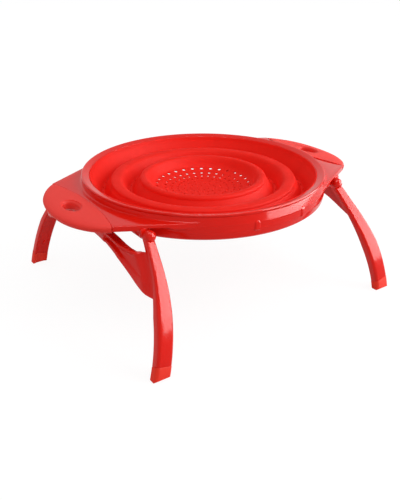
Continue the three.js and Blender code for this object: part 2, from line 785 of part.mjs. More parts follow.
function strap() {
  const half = [strapPad, strapPad + 2.5, 55, 67, 71.9, 72.1, 78, 81.5, 85, 88.5, 92, 97, 102, 114];
  const stations = [...half.map((y) => -y).reverse(), ...half].map((y) => (y * legRadius) / strapDrawnRadius);
  const body = toSolid(loft(stations.map(strapSection)));
  const legOutside = legRadius + 2;
  const wallRoom = rimRadius + 2;
  const trim = revolved([[0, 40], [legOutside, 40], [legOutside, -40], [0, -40]]);
  const room = revolved([[0, 1], [wallRoom, 1], [wallRoom, -strapGap], [0, -strapGap]]);
  return body
    .intersect(toSolid(placed(trim, -hingeX, 0, 0)))
    .subtract(toSolid(placed(room, -hingeX, 0, 0)));
}

// Heel on the eye that meets the underside of the wing and stops the leg at its splay
function stopHeel(toFolded) {
  const heelTop = hingeDrop - wingDrop - wingThickness - clearance;
  const heelReach = eyeRadius + 2.6;
  const heel = box(0, heelReach, eyeInner, eyeInner + 4, -1, heelTop);
  return toSolid(heel.applyMatrix4(toFolded));
}

const foldTurn = -(Math.PI / 2 + splay);
const hingePlace = new THREE.Matrix4()
  .makeRotationY(foldTurn)
  .setPosition(hingeX, 0, hingeHeight);
const toFolded = new THREE.Matrix4().makeRotationY(-foldTurn);

function legFrame() {
  const pieces = [strap()];
  const mirror = new THREE.Matrix4().makeScale(1, -1, 1);
  const both = (geometry) => [geometry, geometry.clone().applyMatrix4(mirror)];
  const oneLeg = joined([leg(), legDetent(), toSolid(barY(eyeRadius, eyeInner, eyeOuter, 0, 0, 20)), stopHeel(toFolded)]);
  both(toGeometry(oneLeg)).forEach((geometry) => pieces.push(toSolid(geometry)));
  const bore = barY(pinRadius + clearance, eyeInner - 5, eyeOuter + 5, 0, 0);
  const seat = barY(pinHeadRadius + 2 * clearance, eyeOuter, eyeOuter + 14, 0, 0);
  return joined(pieces).subtract(joined([...both(bore), ...both(seat)].map(toSolid)));
}

// Shoe that slides over the tenon at the end of a leg. Its sole is cut level with the table.
function footCap() {
  const grow = capSkin;
  const [low, high] = [legLow - grow, legHigh + grow];
  const start = seamV + clearance;
  const deep = footReach + 3;
  const thick = legThickness + 2 * grow;
  const sections = [
    legSection(start, thick - 0.5, low + 0.3, high - 0.3, 0.4, capSlant),
    legSection(start + 0.6, thick, low, high, 0.5, capSlant),
    legSection(start + 6, thick, low, high, 0.5),
    legSection(deep, thick, low, high, 0.5),
  ];
  const inset = tenonInset - clearance;
  const thin = legThickness - 2 * inset;
  const pocket = [
    legSection(seamV - 2, thin, legLow + inset, legHigh - inset, 0),
    legSection(seamV + tenonLength + clearance, thin, legLow + inset, legHigh - inset, 0),
  ];
  const belowTable = box(-400, 400, -400, 400, -60, 0).applyMatrix4(hingePlace.clone().invert());
  const edge = footReach;
  const tip = new THREE.Shape([
    new THREE.Vector2(-edge, low + footChamfer),
    new THREE.Vector2(-edge + 1.4, low - 1),
    new THREE.Vector2(-edge - 8, low - 1),
    new THREE.Vector2(-edge - 8, high + 1),
    new THREE.Vector2(-edge, high + 1),
  ]);
  const beyondTip = prism(tip, -200, 200).rotateX(Math.PI / 2);
  const lifted = new THREE.Shape([
    new THREE.Vector2(legRadius + 1.2, -0.5),
    new THREE.Vector2(legRadius + 7.2, 4.4),
    new THREE.Vector2(legRadius + 7.2, -3),
    new THREE.Vector2(legRadius + 1.2, -3),
  ]);
  const outerEdge = prism(lifted, 60, 260).applyMatrix4(new THREE.Matrix4().set(0, 0, 1, 0, 1, 0, 0, 0, 0, 1, 0, 0, 0, 0, 0, 1));
  return toSolid(loft(sections))
    .subtract(toSolid(loft(pocket)))
    .subtract(toSolid(belowTable))
    .subtract(toSolid(outerEdge.applyMatrix4(hingePlace.clone().invert())))
    .subtract(toSolid(beyondTip));
}

// Hinge pin: a shank through the eye into the knuckle, with a ball head outside
function hingePin() {
  const gap = clearance;
  const back = eyeInner - clearance - 13;
  const ball = [];
  const steps = 6;
  const first = -Math.asin(pinBallReach / pinHeadRadius);
  for (let i = 0; i <= steps; i++) {
    const a = first + (Math.PI / 2 - first) * (i / steps);
    ball.push([pinHeadRadius * Math.cos(a), pinBallReach + pinHeadRadius * Math.sin(a)]);
  }
  ball[steps][0] = 0;
  const start = eyeOuter + gap;
  const profile = [
    [0, back - start],
    [pinRadius - 0.5, back - start],
    [pinRadius, back - start + 0.8],
    [pinRadius, 0],
    ...ball,
  ];
  const points = profile.map(([r, y]) => new THREE.Vector2(r, y));
  return new THREE.LatheGeometry(points, pinSteps).translate(0, start, 0);
}

const colander = new THREE.Group();

function addPiece(parent, name, geometry, material) {
  const mesh = new THREE.Mesh(geometry, material);
  mesh.name = name;
  parent.add(mesh);
  return mesh;
}

// The ring with all that sits in it is drawn from its rim downwards
const ringGroup = new THREE.Group();
ringGroup.position.z = standHeight;
colander.add(ringGroup);
addPiece(ringGroup, 'outer_frame', toGeometry(outerFrame()), paint.frame);
addPiece(ringGroup, 'clamp_ring', toGeometry(clampRing()), paint.frame);
addPiece(ringGroup, 'bowl_outer_wall', toGeometry(bowlOuterWall()), paint.silicone);
addPiece(ringGroup, 'bowl_outer_fold', toGeometry(foldWall(outerGroove, outerCrest)), paint.silicone);
addPiece(ringGroup, 'bowl_middle_ring', toGeometry(bowlMiddleRing()), paint.silicone);
addPiece(ringGroup, 'bowl_inner_fold', toGeometry(foldWall(innerGroove, innerCrest)), paint.silicone);
addPiece(ringGroup, 'bowl_centre_dish', toGeometry(bowlCentreDish()), paint.silicone);

const gripGeometry = toGeometry(grip());
addPiece(ringGroup, 'right_grip', gripGeometry, paint.grip);
addPiece(ringGroup, 'left_grip', gripGeometry, paint.grip).rotation.z = Math.PI;

const frameGeometry = toGeometry(legFrame());
const capGeometry = toGeometry(footCap());
const pinGeometry = hingePin();
const mirrorY = new THREE.Matrix4().makeScale(1, -1, 1);

for (const side of ['right', 'left']) {
  const sideGroup = new THREE.Group();
  sideGroup.rotation.z = side === 'right' ? 0 : Math.PI;
  colander.add(sideGroup);
  const hinge = new THREE.Group();
  hinge.position.set(hingeX, 0, hingeHeight);
  hinge.rotation.y = foldTurn;
  sideGroup.add(hinge);
  addPiece(hinge, `${side}_leg_frame`, frameGeometry, paint.frame);
  for (const way of [1, -1]) {
    const rear = (way > 0) === (side === 'right');
    const corner = `${side}_${rear ? 'rear' : 'front'}`;
    const shape = (solid) => (way > 0 ? solid : toGeometry(toSolid(solid.clone().applyMatrix4(mirrorY))));
    addPiece(hinge, `${corner}_foot_cap`, shape(capGeometry), paint.shoe);
    addPiece(sideGroup, `${corner}_hinge_pin`, shape(pinGeometry), paint.pin).position.set(hingeX, 0, hingeHeight);
  }
}

export default colander;
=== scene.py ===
import math

import bpy
from mathutils import Matrix, Vector


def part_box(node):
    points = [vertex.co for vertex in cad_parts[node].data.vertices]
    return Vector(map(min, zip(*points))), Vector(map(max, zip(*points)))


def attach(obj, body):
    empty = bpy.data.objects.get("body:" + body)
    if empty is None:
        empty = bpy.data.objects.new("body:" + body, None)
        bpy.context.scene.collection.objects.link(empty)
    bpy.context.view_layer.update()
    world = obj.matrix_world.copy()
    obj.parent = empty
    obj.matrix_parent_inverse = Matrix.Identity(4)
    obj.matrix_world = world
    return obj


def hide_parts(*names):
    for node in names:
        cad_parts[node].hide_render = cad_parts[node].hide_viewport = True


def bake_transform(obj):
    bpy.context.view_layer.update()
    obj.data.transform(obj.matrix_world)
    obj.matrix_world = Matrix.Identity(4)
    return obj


bl_info = {
    "name": "Collapsible Colander",
    "version": (1, 0, 0),
    "blender": (4, 5, 0),
    "location": "View3D > Sidebar > Colander",
    "description": "Builds a folding silicone colander on its legs",
    "category": "Add Mesh",
}

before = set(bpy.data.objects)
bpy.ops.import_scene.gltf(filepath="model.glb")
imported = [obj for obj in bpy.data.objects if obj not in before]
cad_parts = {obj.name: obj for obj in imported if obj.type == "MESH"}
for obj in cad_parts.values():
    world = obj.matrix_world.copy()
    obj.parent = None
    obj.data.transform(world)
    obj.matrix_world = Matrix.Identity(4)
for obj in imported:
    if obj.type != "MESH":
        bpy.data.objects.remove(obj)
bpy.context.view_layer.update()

MM = 0.001
QUARTER = math.pi / 2
RIM_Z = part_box("clamp_ring")[1].z / MM
# Faces round the ring and the bowl, and round the discs that cut the wings and legs
TURNS, DISC_SIDES = 192, 180
# The hinge's place, and how far an open leg leans outwards from upright, in degrees
HINGE_X, HINGE_DROP, SPLAY = 114.3, 17.2, 13.0
# The eye at the top of a leg, and how far it stands out past the wing's edge
EYE_RADIUS, EYE_LENGTH, EYE_PAST_EDGE = 5.4, 7.0, 2.0
# The ball on a hinge pin, and its centre's distance from the pin's shoulder
KNOB_RADIUS, KNOB_REACH = 5.7, 0.3
# Length of a leg's narrow top, and how far its edge lies above the hinge when folded
NECK, NECK_RISE = 22.0, 6.2
# From the right half of the object to the left, and from its rear to its front
HALF_TURN, MIRROR_Y = Matrix.Rotation(math.pi, 4, "Z"), Matrix.Diagonal((1, -1, 1, 1))
# Turn from the front and the back to a snap clip, and to the bump that catches on it
CLIP_ANGLE = math.radians(12.4)


# ---------------- selection and meshes

MERGE_DISTANCE = 0.01


def deselect_all():
    if bpy.context.object and bpy.context.object.mode != "OBJECT":
        bpy.ops.object.mode_set(mode="OBJECT")
    bpy.ops.object.select_all(action="DESELECT")


def make_active(piece):
    deselect_all()
    piece.select_set(True)
    bpy.context.view_layer.objects.active = piece


def named(name):
    piece = bpy.context.object
    piece.name = name
    piece.data.name = name
    return piece


def place_vertices(piece, points):
    """Moves the vertices of a fresh primitive to points given in millimetres."""
    flat = [value * MM for point in points for value in point]
    piece.data.vertices.foreach_set("co", flat)
    piece.data.update()


def edit(piece, *steps):
    """Runs edit-mode operators on the whole mesh, each given as (operator, options)."""
    make_active(piece)
    bpy.ops.object.mode_set(mode="EDIT")
    bpy.ops.mesh.select_all(action="SELECT")
    for operator, options in steps:
        operator(**options)
    bpy.ops.object.mode_set(mode="OBJECT")
    return piece


def merge_and_face_out(piece, fill=False):
    """Merges double vertices, closes open ends if asked, and turns all faces outwards."""
    mesh, everything = bpy.ops.mesh, (bpy.ops.mesh.select_all, {"action": "SELECT"})
    steps = [(mesh.remove_doubles, {"threshold": MERGE_DISTANCE * MM}), (mesh.delete_loose, {})]
    if fill:
        steps += [everything, (mesh.fill_holes, {"sides": 0})]
    return edit(piece, *steps, everything, (mesh.normals_make_consistent, {"inside": False}))


def smooth(piece, degrees=35):
    make_active(piece)
    bpy.ops.object.shade_smooth_by_angle(angle=math.radians(degrees))
    return piece


def apply_modifier(piece, kind, **options):
    make_active(piece)
    modifier = piece.modifiers.new(kind.title(), kind)
    for key, value in options.items():
        setattr(modifier, key, value)
    bpy.ops.object.modifier_apply(modifier=modifier.name)
    return piece


def bevelled(piece, width, segments=3, degrees=40):
    return apply_modifier(
        piece, "BEVEL", width=width * MM, segments=segments, limit_method="ANGLE",
        angle_limit=math.radians(degrees), harden_normals=False, miter_outer="MITER_ARC",
    )


def combined(piece, other, operation):
    """Boolean of two closed meshes. The second one is used up."""
    apply_modifier(piece, "BOOLEAN", object=other, operation=operation, solver="EXACT")
    bpy.data.objects.remove(other)
    return piece


def joined(pieces, name):
    deselect_all()
    for piece in pieces:
        piece.select_set(True)
    bpy.context.view_layer.objects.active = pieces[0]
    bpy.ops.object.join()
    return named(name)


def copied(piece, name, matrix):
    make_active(piece)
    bpy.ops.object.duplicate(linked=False)
    twin = named(name)
    twin.data.transform(matrix)
    if matrix.determinant() < 0:
        edit(twin, (bpy.ops.mesh.flip_normals, {}))
    return twin


# ---------------- profiles and forms

# A rounding uses less than half of each side, and none is made at a corner sharper than this angle
SIDE_SHARE, SHARPEST = 0.49, 0.02


def drop(below):
    """Height above the table of a point that lies so far below the rim."""
    return RIM_Z - below


def clamped(share):
    """A share, kept between 0 and 1."""
    return max(0.0, min(1.0, share))


def rounded(corners, steps=5):
    """Turns (x, y) or (x, y, radius) corners of a closed outline into points with rounded corners."""
    points = []
    count = len(corners)
    for i, corner in enumerate(corners):
        here = Vector(corner[:2])
        radius = corner[2] if len(corner) > 2 else 0
        before = Vector(corners[i - 1][:2]) - here
        after = Vector(corners[(i + 1) % count][:2]) - here
        short = not before.length or not after.length
        if not radius or short or before.angle(after) < SHARPEST:
            points.append(here)
            continue
        angle = before.angle(after)
        reach = min(radius / math.tan(angle / 2), before.length * SIDE_SHARE, after.length * SIDE_SHARE)
        start, end = here + before.normalized() * reach, here + after.normalized() * reach
        for k in range(steps + 1):
            t = k / steps
            points.append((1 - t) ** 2 * start + 2 * t * (1 - t) * here + t * t * end)
    return points


def curve_through(knots, count):
    """Points of a smooth curve through knots, with the knots spread evenly by number."""
    last = len(knots) - 1
    points = []
    for k in range(count):
        s = k / (count - 1) * last
        i = min(int(s), last - 1)
        t = s - i
        p = [Vector(knots[max(0, min(last, i + j))]) for j in (-1, 0, 1, 2)]
        a = 2 * p[1]
        b = p[2] - p[0]
        c = 2 * p[0] - 5 * p[1] + 4 * p[2] - p[3]
        d = 3 * p[1] - p[0] - 3 * p[2] + p[3]
        points.append((a + b * t + c * t * t + d * t ** 3) / 2)
    return points


def read_curve(knots, x):
    """Value at x of a smooth curve through (x, value) knots."""
    points = curve_through(knots, 8 * len(knots))
    for a, b in zip(points, points[1:]):
        if a.x <= x <= b.x:
            return a.y + (b.y - a.y) * (x - a.x) / (b.x - a.x)
    return points[0].y if x < points[0].x else points[-1].y


def spun(name, outline, steps, centre, axis):
    """Spins a closed outline of points once round an axis through the centre."""
    deselect_all()
    bpy.ops.mesh.primitive_circle_add(vertices=len(outline), radius=MM)
    piece = named(name)
    place_vertices(piece, outline)
    spin = {"steps": steps, "angle": math.tau, "center": [c * MM for c in centre], "axis": axis}
    return merge_and_face_out(edit(piece, (bpy.ops.mesh.spin, spin)))


def turned_ring(name, profile):
    """Ring with a closed (radius, drop) outline about the bowl's axis."""
    return smooth(spun(name, [(p[0], 0, drop(p[1])) for p in profile], TURNS, (0, 0, 0), (0, 0, 1)))


def skinned(name, rows):
    """Closed skin over rows of points. Each row runs round the piece, and the ends are capped."""
    around, along = len(rows[0]), len(rows) - 1
    deselect_all()
    bpy.ops.mesh.primitive_grid_add(x_subdivisions=around, y_subdivisions=along, size=MM)
    piece = named(name)
    place_vertices(piece, [p for row in rows for p in [*row, row[0]]])
    return merge_and_face_out(piece, fill=True)


def slab(name, outline, top, bottom):
    """Solid between two drops below the rim, over a plan outline given as (x, y) points."""
    deselect_all()
    bpy.ops.mesh.primitive_circle_add(vertices=len(outline), radius=MM, fill_type="NGON")
    piece = named(name)
    place_vertices(piece, [(p[0], p[1], RIM_Z - top) for p in outline])
    push = {"TRANSFORM_OT_translate": {"value": (0, 0, (top - bottom) * MM)}}
    edit(piece, (bpy.ops.mesh.extrude_region_move, push))
    return merge_and_face_out(piece)


def round_bar(name, radius, start, end, sides=48):
    """Cylinder between two points in millimetres."""
    a, b = Vector(start), Vector(end)
    deselect_all()
    turn = (b - a).to_track_quat("Z", "Y").to_euler()
    bpy.ops.mesh.primitive_cylinder_add(
        vertices=sides, radius=radius * MM, depth=(b - a).length * MM,
        location=(a + b) / 2 * MM, rotation=turn,
    )
    bpy.ops.object.transform_apply(location=True, rotation=True, scale=True)
    return named(name)


def disc(name, radius, low, high, x=0.0):
    """Wide round cutter between two heights, about an upright axis at x."""
    return round_bar(name, radius, (x, 0, low), (x, 0, high), DISC_SIDES)


# ---------------- materials

class Wire:
    """A node socket that can be added and multiplied."""

    def __init__(self, finish, socket):
        self.finish, self.socket = finish, socket

    def maths(self, operation, other):
        return self.finish.node("ShaderNodeMath", {"operation": operation}, {0: self, 1: other})

    def __add__(self, other):
        return self.maths("ADD", other)

    def __mul__(self, other):
        return self.maths("MULTIPLY", other)

    __radd__ = __add__


# Sockets of the colour Mix node: the factor and the two colours, and the mixed colour
MIX_FACTOR, MIX_A, MIX_B, MIX_RESULT = 0, 6, 7, 2


class Finish:
    """The nodes of a material or of the world."""

    def __init__(self, owner, output="ShaderNodeOutputMaterial"):
        owner.use_nodes = True
        self.owner, self.tree = owner, owner.node_tree
        self.tree.nodes.clear()
        self.output = self.tree.nodes.new(output)

    def feed(self, socket, value):
        if isinstance(value, Wire):
            self.tree.links.new(value.socket, socket)
        elif hasattr(socket.default_value, "__len__") and not isinstance(value, (int, float)):
            socket.default_value = [*value, 1.0][:len(socket.default_value)]
        else:
            socket.default_value = value

    def node(self, kind, traits=None, values=None, out=0):
        """Makes a node, sets its traits, feeds its inputs and gives back one of its outputs."""
        made = self.tree.nodes.new(kind)
        for key, value in (traits or {}).items():
            setattr(made, key, value)
        for key, value in (values or {}).items():
            self.feed(made.inputs[key], value)
        return Wire(self, made.outputs[out])

    def noise(self, scale, detail=2.0, roughness=0.5):
        place = self.node("ShaderNodeTexCoord", out="Object")
        values = {"Vector": place, "Scale": scale, "Detail": detail, "Roughness": roughness}
        return self.node("ShaderNodeTexNoise", values=values)

    def mixed(self, factor, a, b):
        values = {MIX_FACTOR: factor, MIX_A: a, MIX_B: b}
        return self.node("ShaderNodeMix", {"data_type": "RGBA"}, values, out=MIX_RESULT)

    def bump(self, height, strength, distance):
        values = {"Height": height, "Strength": strength, "Distance": distance}
        return self.node("ShaderNodeBump", values=values)

    def principled(self, **values):
        names = {key.replace("_", " ").title().replace("Ior", "IOR"): v for key, v in values.items()}
        return self.node("ShaderNodeBsdfPrincipled", values=names)

    def surfaced(self, shader):
        """Makes a shader the surface, and gives back the material or world."""
        self.tree.links.new(shader.socket, self.output.inputs["Surface"])
        return self.owner


def moulded_plastic(name, tint):
    """Glossy moulded plastic with a faint flow pattern and a slight orange-peel surface."""
    finish = Finish(bpy.data.materials.new(name))
    flow = finish.noise(scale=18.0, detail=3.0)
    peel = finish.noise(scale=240.0, detail=1.0)
    dark = [c * 0.9 for c in tint]
    return finish.surfaced(finish.principled(
        base_color=finish.mixed(flow, tint, dark),
        roughness=0.12 + flow * 0.05,
        normal=finish.bump(peel, strength=0.05, distance=0.1 * MM),
        specular_ior_level=0.14,
    ))


def satin_silicone(name, tint):
    """Food-grade silicone: soft satin sheen, deep colour and a faint powdery mottle."""
    finish = Finish(bpy.data.materials.new(name))
    mottle = finish.noise(scale=60.0, detail=4.0, roughness=0.6)
    grain = finish.noise(scale=2600.0)
    deep = [c * 0.84 for c in tint]
    return finish.surfaced(finish.principled(
        base_color=finish.mixed(mottle, tint, deep),
        roughness=0.5 + mottle * 0.14,
        normal=finish.bump(grain, strength=0.12, distance=0.12 * MM),
        specular_ior_level=0.035,
    ))


def soft_touch(name, tint):
    """Matte rubbery grip with a fine eroded grain."""
    finish = Finish(bpy.data.materials.new(name))
    cloud = finish.noise(scale=40.0, detail=3.0)
    grain = finish.noise(scale=3200.0, detail=3.0, roughness=0.7)
    pale = [min(1.0, c * 1.06 + 0.004) for c in tint]
    return finish.surfaced(finish.principled(
        base_color=finish.mixed(cloud, tint, pale),
        roughness=0.5 + grain * 0.14,
        normal=finish.bump(grain, strength=0.2, distance=0.1 * MM),
        specular_ior_level=0.14,
    ))


# ---------------- settings

def length(name, description, default):
    return bpy.props.FloatProperty(name=name, description=description + ", mm", default=default)


def colour(name, description, default):
    return bpy.props.FloatVectorProperty(
        name=name, description=description, subtype="COLOR", default=default)


class RingSettings(bpy.types.PropertyGroup):
    radius: length("Ring radius", "Outside of the rigid ring", 125.0)
    depth: length("Ring depth", "Height of the ring's wall", 25.0)
    wing_drop: length("Wing drop", "Rim to top of the handle plates", 7.6)
    plastic: colour("Plastic", "Colour of the rigid plastic", (0.80, 0.010, 0.004))


class BowlSettings(bpy.types.PropertyGroup):
    wall: length("Wall", "Thickness of the silicone", 2.0)
    silicone: colour("Silicone", "Colour of the bowl", (0.93, 0.017, 0.009))


class HandleSettings(bpy.types.PropertyGroup):
    reach: length("Reach", "Bowl centre to the end of a grip", 169.4)
    rubber: colour("Grip", "Colour of the soft grips", (0.82, 0.032, 0.022))


class LegSettings(bpy.types.PropertyGroup):
    arc: length("Leg arc", "Radius of the legs' arc", 135.9)
    thickness: length("Thickness", "Leg thickness", 9.0)
    shoe: colour("Foot caps", "Colour of the foot caps", (0.83, 0.028, 0.011))


def settings(group):
    """Settings of one group of pieces: ring, bowl, handle or leg."""
    return getattr(bpy.context.scene, f"colander_{group}")


FINISHES = {}
PIN_SHADE = 0.97


def finish_of(slot):
    """Material of a slot, made when it is first asked for."""
    if slot not in FINISHES:
        plastic = settings("ring").plastic
        maker, tint = {
            "frame_plastic": (moulded_plastic, plastic),
            "pin_plastic": (moulded_plastic, [c * PIN_SHADE for c in plastic]),
            "silicone": (satin_silicone, settings("bowl").silicone),
            "soft_grip": (soft_touch, settings("handle").rubber),
            "foot_rubber": (soft_touch, settings("leg").shoe),
        }[slot]
        FINISHES[slot] = maker(slot, tint)
    return FINISHES[slot]


def finished(piece, body, slot, *nodes):
    """Dresses a piece, sets it on its body and hides the nodes that it stands for."""
    piece.data.materials.clear()
    piece.data.materials.append(finish_of(slot))
    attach(piece, body)
    if nodes:
        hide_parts(*nodes)
    return piece


# ---------------- ring

# Corner of a wing, out from the ring and to each side, and the thickness of its edge
CORNER_OUT, CORNER_SIDE, WING_EDGE = 16.4, 64.4, 5.4
# How far the seam between wing and grip bows in, and how far the wing's plate runs past it
SEAM_BOW, SEAM_LAP = 8.6, 0.3
# The grip's outer edge is part of an oval: its centre in from the ring, its half width and its power
OVAL_IN, OVAL_HALF, OVAL_POWER = 17, 75.0, 2.15
# The pocket under a wing: its border, the skin above it, and how far it stops short of the corner
POCKET_RIM, POCKET_SKIN, POCKET_SHORT = 2.6, 2.4, 4.4
# How far the wings' plates reach into the ring's wall, and how far in the ring's hollow starts
WING_ROOT, WALL_INSIDE = 1.9, 2.7
# Room round an eye, beside it, and past its outer face for the ball of the pin
EYE_ROOM, EYE_GAP, BALL_ROOM = 0.6, 0.3, 9
# Wall of the housing round an eye's bore, and the gap over a folded leg's neck
HOUSING, NECK_GAP = 0.3, 0.45
COVE_RADIUS = 3.0


def handle_corner():
    ring = settings("ring")
    return Vector((ring.radius + CORNER_OUT, CORNER_SIDE))


def tangent_point():
    """Where a wing's straight edge leaves the ring."""
    ring = settings("ring")
    corner = handle_corner()
    angle = math.atan2(corner.y, corner.x) + math.acos(ring.radius / corner.length)
    return Vector((ring.radius * math.cos(angle), ring.radius * math.sin(angle)))


def edge_y(x):
    """Side of a wing's straight edge at x."""
    corner, tangent = handle_corner(), tangent_point()
    return corner.y + (x - corner.x) * (tangent.y - corner.y) / (tangent.x - corner.x)


def seam_x(y, inset=0.0):
    """The bowed line where plate and grip meet."""
    corner = handle_corner()
    return corner.x - SEAM_BOW * (1 - (y / corner.y) ** 2) + inset


def grip_end_x(y, inset=0.0):
    """The outer end of the grip, part of a wide oval."""
    ring, handle = settings("ring"), settings("handle")
    middle = ring.radius - OVAL_IN
    t = min(1.0, abs(y) / (OVAL_HALF - inset))
    return middle + (handle.reach - inset - middle) * (1 - t ** OVAL_POWER) ** (1 / OVAL_POWER)


def ring_profile():
    """Outline of the ring's wall, with the ledge inside that carries the bowl."""
    ring = settings("ring")
    r, deep = ring.radius, ring.depth
    outside = [(r - 2.1, 2.7), (r + 0.05, 2.7, 0.2), (r + 0.15, 3.1, 0.3), (r + 1.6, 10.4, 3),
               (r + 1.5, 17.0, 5), (r + 0.4, deep - 1.6, 1.6), (r - 1.2, deep, 1.0)]
    inside = [(r - 3.4, deep, 0.4), (r - 2.9, 9.2, 1.0), (r - 6.6, 7.6, 0.3), (r - 6.6, 5.8, 0.2),
              (r - 2.1, 5.8)]
    return rounded([*outside, *inside])


def clamp_profile():
    """Outline of the ring that clamps the bowl's flange from above."""
    r = settings("ring").radius
    return rounded([
        (r - 7.2, 2.0, 0.5), (r - 1.5, 0.15, 1.2), (r - 0.3, 0.0, 0.6), (r + 0.5, 0.8, 0.7),
        (r + 0.3, 2.45, 0.25), (r - 2.4, 2.45), (r - 2.4, 3.3, 0.2), (r - 7.2, 3.3, 0.3)])


def seam_points(half, inset, steps):
    """Points along the seam, from one side to the other."""
    ys = [half * (2 * i / steps - 1) for i in range(steps + 1)]
    return [Vector((seam_x(y, inset), y)) for y in ys]


def wing_outline(arc_steps=24):
    """Plan of the right wing: its seam, its straight edges and an arc inside the ring's wall."""
    tangent, radius = tangent_point(), settings("ring").radius - WING_ROOT
    seam = seam_points(handle_corner().y, -SEAM_LAP, steps=40)
    outline = [Vector((tangent.x, -tangent.y)), *seam, tangent]
    for i in range(1, arc_steps):
        a = math.atan2(tangent.y, tangent.x) * (1 - 2 * i / arc_steps)
        outline.append(Vector((math.cos(a), math.sin(a))) * radius)
    return outline


def pocket_outline():
    """Plan of the pocket under the right wing."""
    corner = handle_corner()
    near, far = corner.x - 26, HINGE_X - 30
    outline = seam_points(corner.y - POCKET_SHORT, -POCKET_RIM, steps=16)
    outline += [Vector((x, edge_y(x) - POCKET_RIM)) for x in (near, far)]
    return outline + [Vector((x, POCKET_RIM - edge_y(x))) for x in (far, near)]


def wing():
    """Right handle plate with the pocket under it, its knuckles and the room for eyes and necks."""
    ring = settings("ring")
    top, bottom = ring.wing_drop, ring.wing_drop + WING_EDGE
    plate = slab("wing", wing_outline(), top, bottom)
    bevelled(plate, 0.9, segments=4, degrees=60)
    pocket = slab("pocket", pocket_outline(), top + POCKET_SKIN, bottom + 2)
    bevelled(pocket, 0.6, segments=2, degrees=60)
    combined(plate, pocket, "DIFFERENCE")
    inner, outer = eye_span()
    inner, outer = inner - EYE_GAP, outer + BALL_ROOM
    for side in (-1, 1):
        combined(plate, knuckle(side, inner), "UNION")
    combined(plate, disc("core", ring.radius - WALL_INSIDE, drop(40), drop(-4)), "DIFFERENCE")
    for side in (-1, 1):
        ends = [(HINGE_X, side * y, drop(HINGE_DROP)) for y in (inner, outer)]
        combined(plate, round_bar("relief", EYE_RADIUS + EYE_ROOM, *ends), "DIFFERENCE")
        combined(plate, neck_slot(side, inner, outer), "DIFFERENCE")
    return smooth(plate)


def neck_slot(side, near, far):
    """Cutter for the slot in the flange that the folded leg's neck lies in."""
    top, flange = HINGE_DROP - NECK_RISE - NECK_GAP, settings("ring").wing_drop + WING_EDGE + 0.1
    bend, end, low = HINGE_X - 15, HINGE_X - 24, top + 8
    outline = [(HINGE_X, top), (bend, top), (end, flange), (end, low), (HINGE_X, low)]
    return skinned("slot", [[(x, side * y, drop(z)) for x, z in outline] for y in (near, far)])


def eye_span():
    """Inner and outer face of a leg's eye along Y."""
    outer = edge_y(HINGE_X) + EYE_PAST_EDGE
    return outer - EYE_LENGTH, outer


def knuckle(side, inner):
    """Rounded housing for a hinge pin under the wing, with a soft edge round its end."""
    ring = settings("ring")
    r, root = EYE_RADIUS + HOUSING, ring.wing_drop + 1
    low = [(r * math.sin(a), HINGE_DROP + r * math.cos(a))
           for a in [math.pi * (k / 20 - 0.5) for k in range(21)]]
    outline = [(r, root), *reversed(low), (-r, root)]
    start = math.sqrt(ring.radius ** 2 - HINGE_X ** 2) - 8
    stations = [(start, 0.0), (start + 0.01, 0.0), (inner - 0.7, 0.0), (inner - 0.2, 0.12), (inner, 0.6)]
    rows = []
    for y, squeeze in stations:
        share = (r - squeeze) / r
        rows.append([(HINGE_X + x * share, side * y, drop(HINGE_DROP + (z - HINGE_DROP) * share))
                     for x, z in outline])
    return skinned("knuckle", rows)


def cove():
    """Soft fillet between the ring's wall and the top of a wing."""
    ring = settings("ring")
    foot, top, radius = ring.radius - 0.2, ring.wing_drop, COVE_RADIUS
    back, sunk = foot - 1.2, top + 0.6
    centre = Vector((foot + radius, top - radius))
    curve = [centre + Vector((-math.cos(a), math.sin(a))) * radius
             for a in [QUARTER * k / 8 for k in range(9)]]
    profile = [Vector((back, top - radius)), *curve, Vector((foot + radius, sunk)), Vector((back, sunk))]
    piece = turned_ring("cove", profile)
    shape = slab("cove_reach", wing_outline(), top - 5, top + 2)
    return smooth(combined(piece, shape, "INTERSECT"), degrees=50)


def snap_clips():
    """Four short ribs on the skirt that hold the folded legs, with soft flanks."""
    r = settings("ring").radius
    half_rows, flat_rows, spacing, flank = 9, 3, 0.47, 2.0
    side = rounded([(r - 3, 19.8), (r + 0.4, 19.8, 0.6), (r + 2.9, 17.2, 1.2), (r + 2.4, 10.4, 2.0),
                    (r + 0.3, 7.4, 1.0), (r - 3, 7.4)], steps=4)
    rows = []
    for k in range(-half_rows, half_rows + 1):
        slope = max(0.0, abs(k) - flat_rows) / (half_rows - flat_rows)
        sink = flank * math.sin(QUARTER * slope) ** 2
        rows.append([(p[0] - sink, spacing * k, drop(p[1])) for p in side])
    clips = []
    for middle in (-QUARTER, QUARTER):
        for way in (-1, 1):
            clip = skinned("clip", rows)
            clip.data.transform(Matrix.Rotation(middle + way * CLIP_ANGLE, 4, "Z"))
            clips.append(smooth(clip))
    return joined(clips, "snap_clips")


class COLANDER_OT_ring(bpy.types.Operator):
    """Builds the rigid ring with its two handle plates and the clamp ring on the rim"""
    bl_idname = "colander.ring"
    bl_label = "Ring"

    def execute(self, context):
        band = turned_ring("ring_band", ring_profile())
        right = joined([wing(), cove()], "right_wing")
        left = copied(right, "left_wing", HALF_TURN)
        for piece in (band, right, left, snap_clips()):
            finished(piece, "colander", "frame_plastic", "outer_frame")
        clamp = turned_ring("clamp_band", clamp_profile())
        finished(clamp, "colander", "frame_plastic", "clamp_ring")
        return {"FINISHED"}


# ---------------- bowl

# Points on the bowl's skin are (radius, drop below the rim), in its folded state.
# The depth of both grooves, and the dish's share of the bowl's wall
GROOVE_DROP, DISH_SHARE = 22.3, 0.55
# Half the length of a rod that cuts a drain hole, and its sides
ROD_HALF, ROD_SIDES = 5, 14
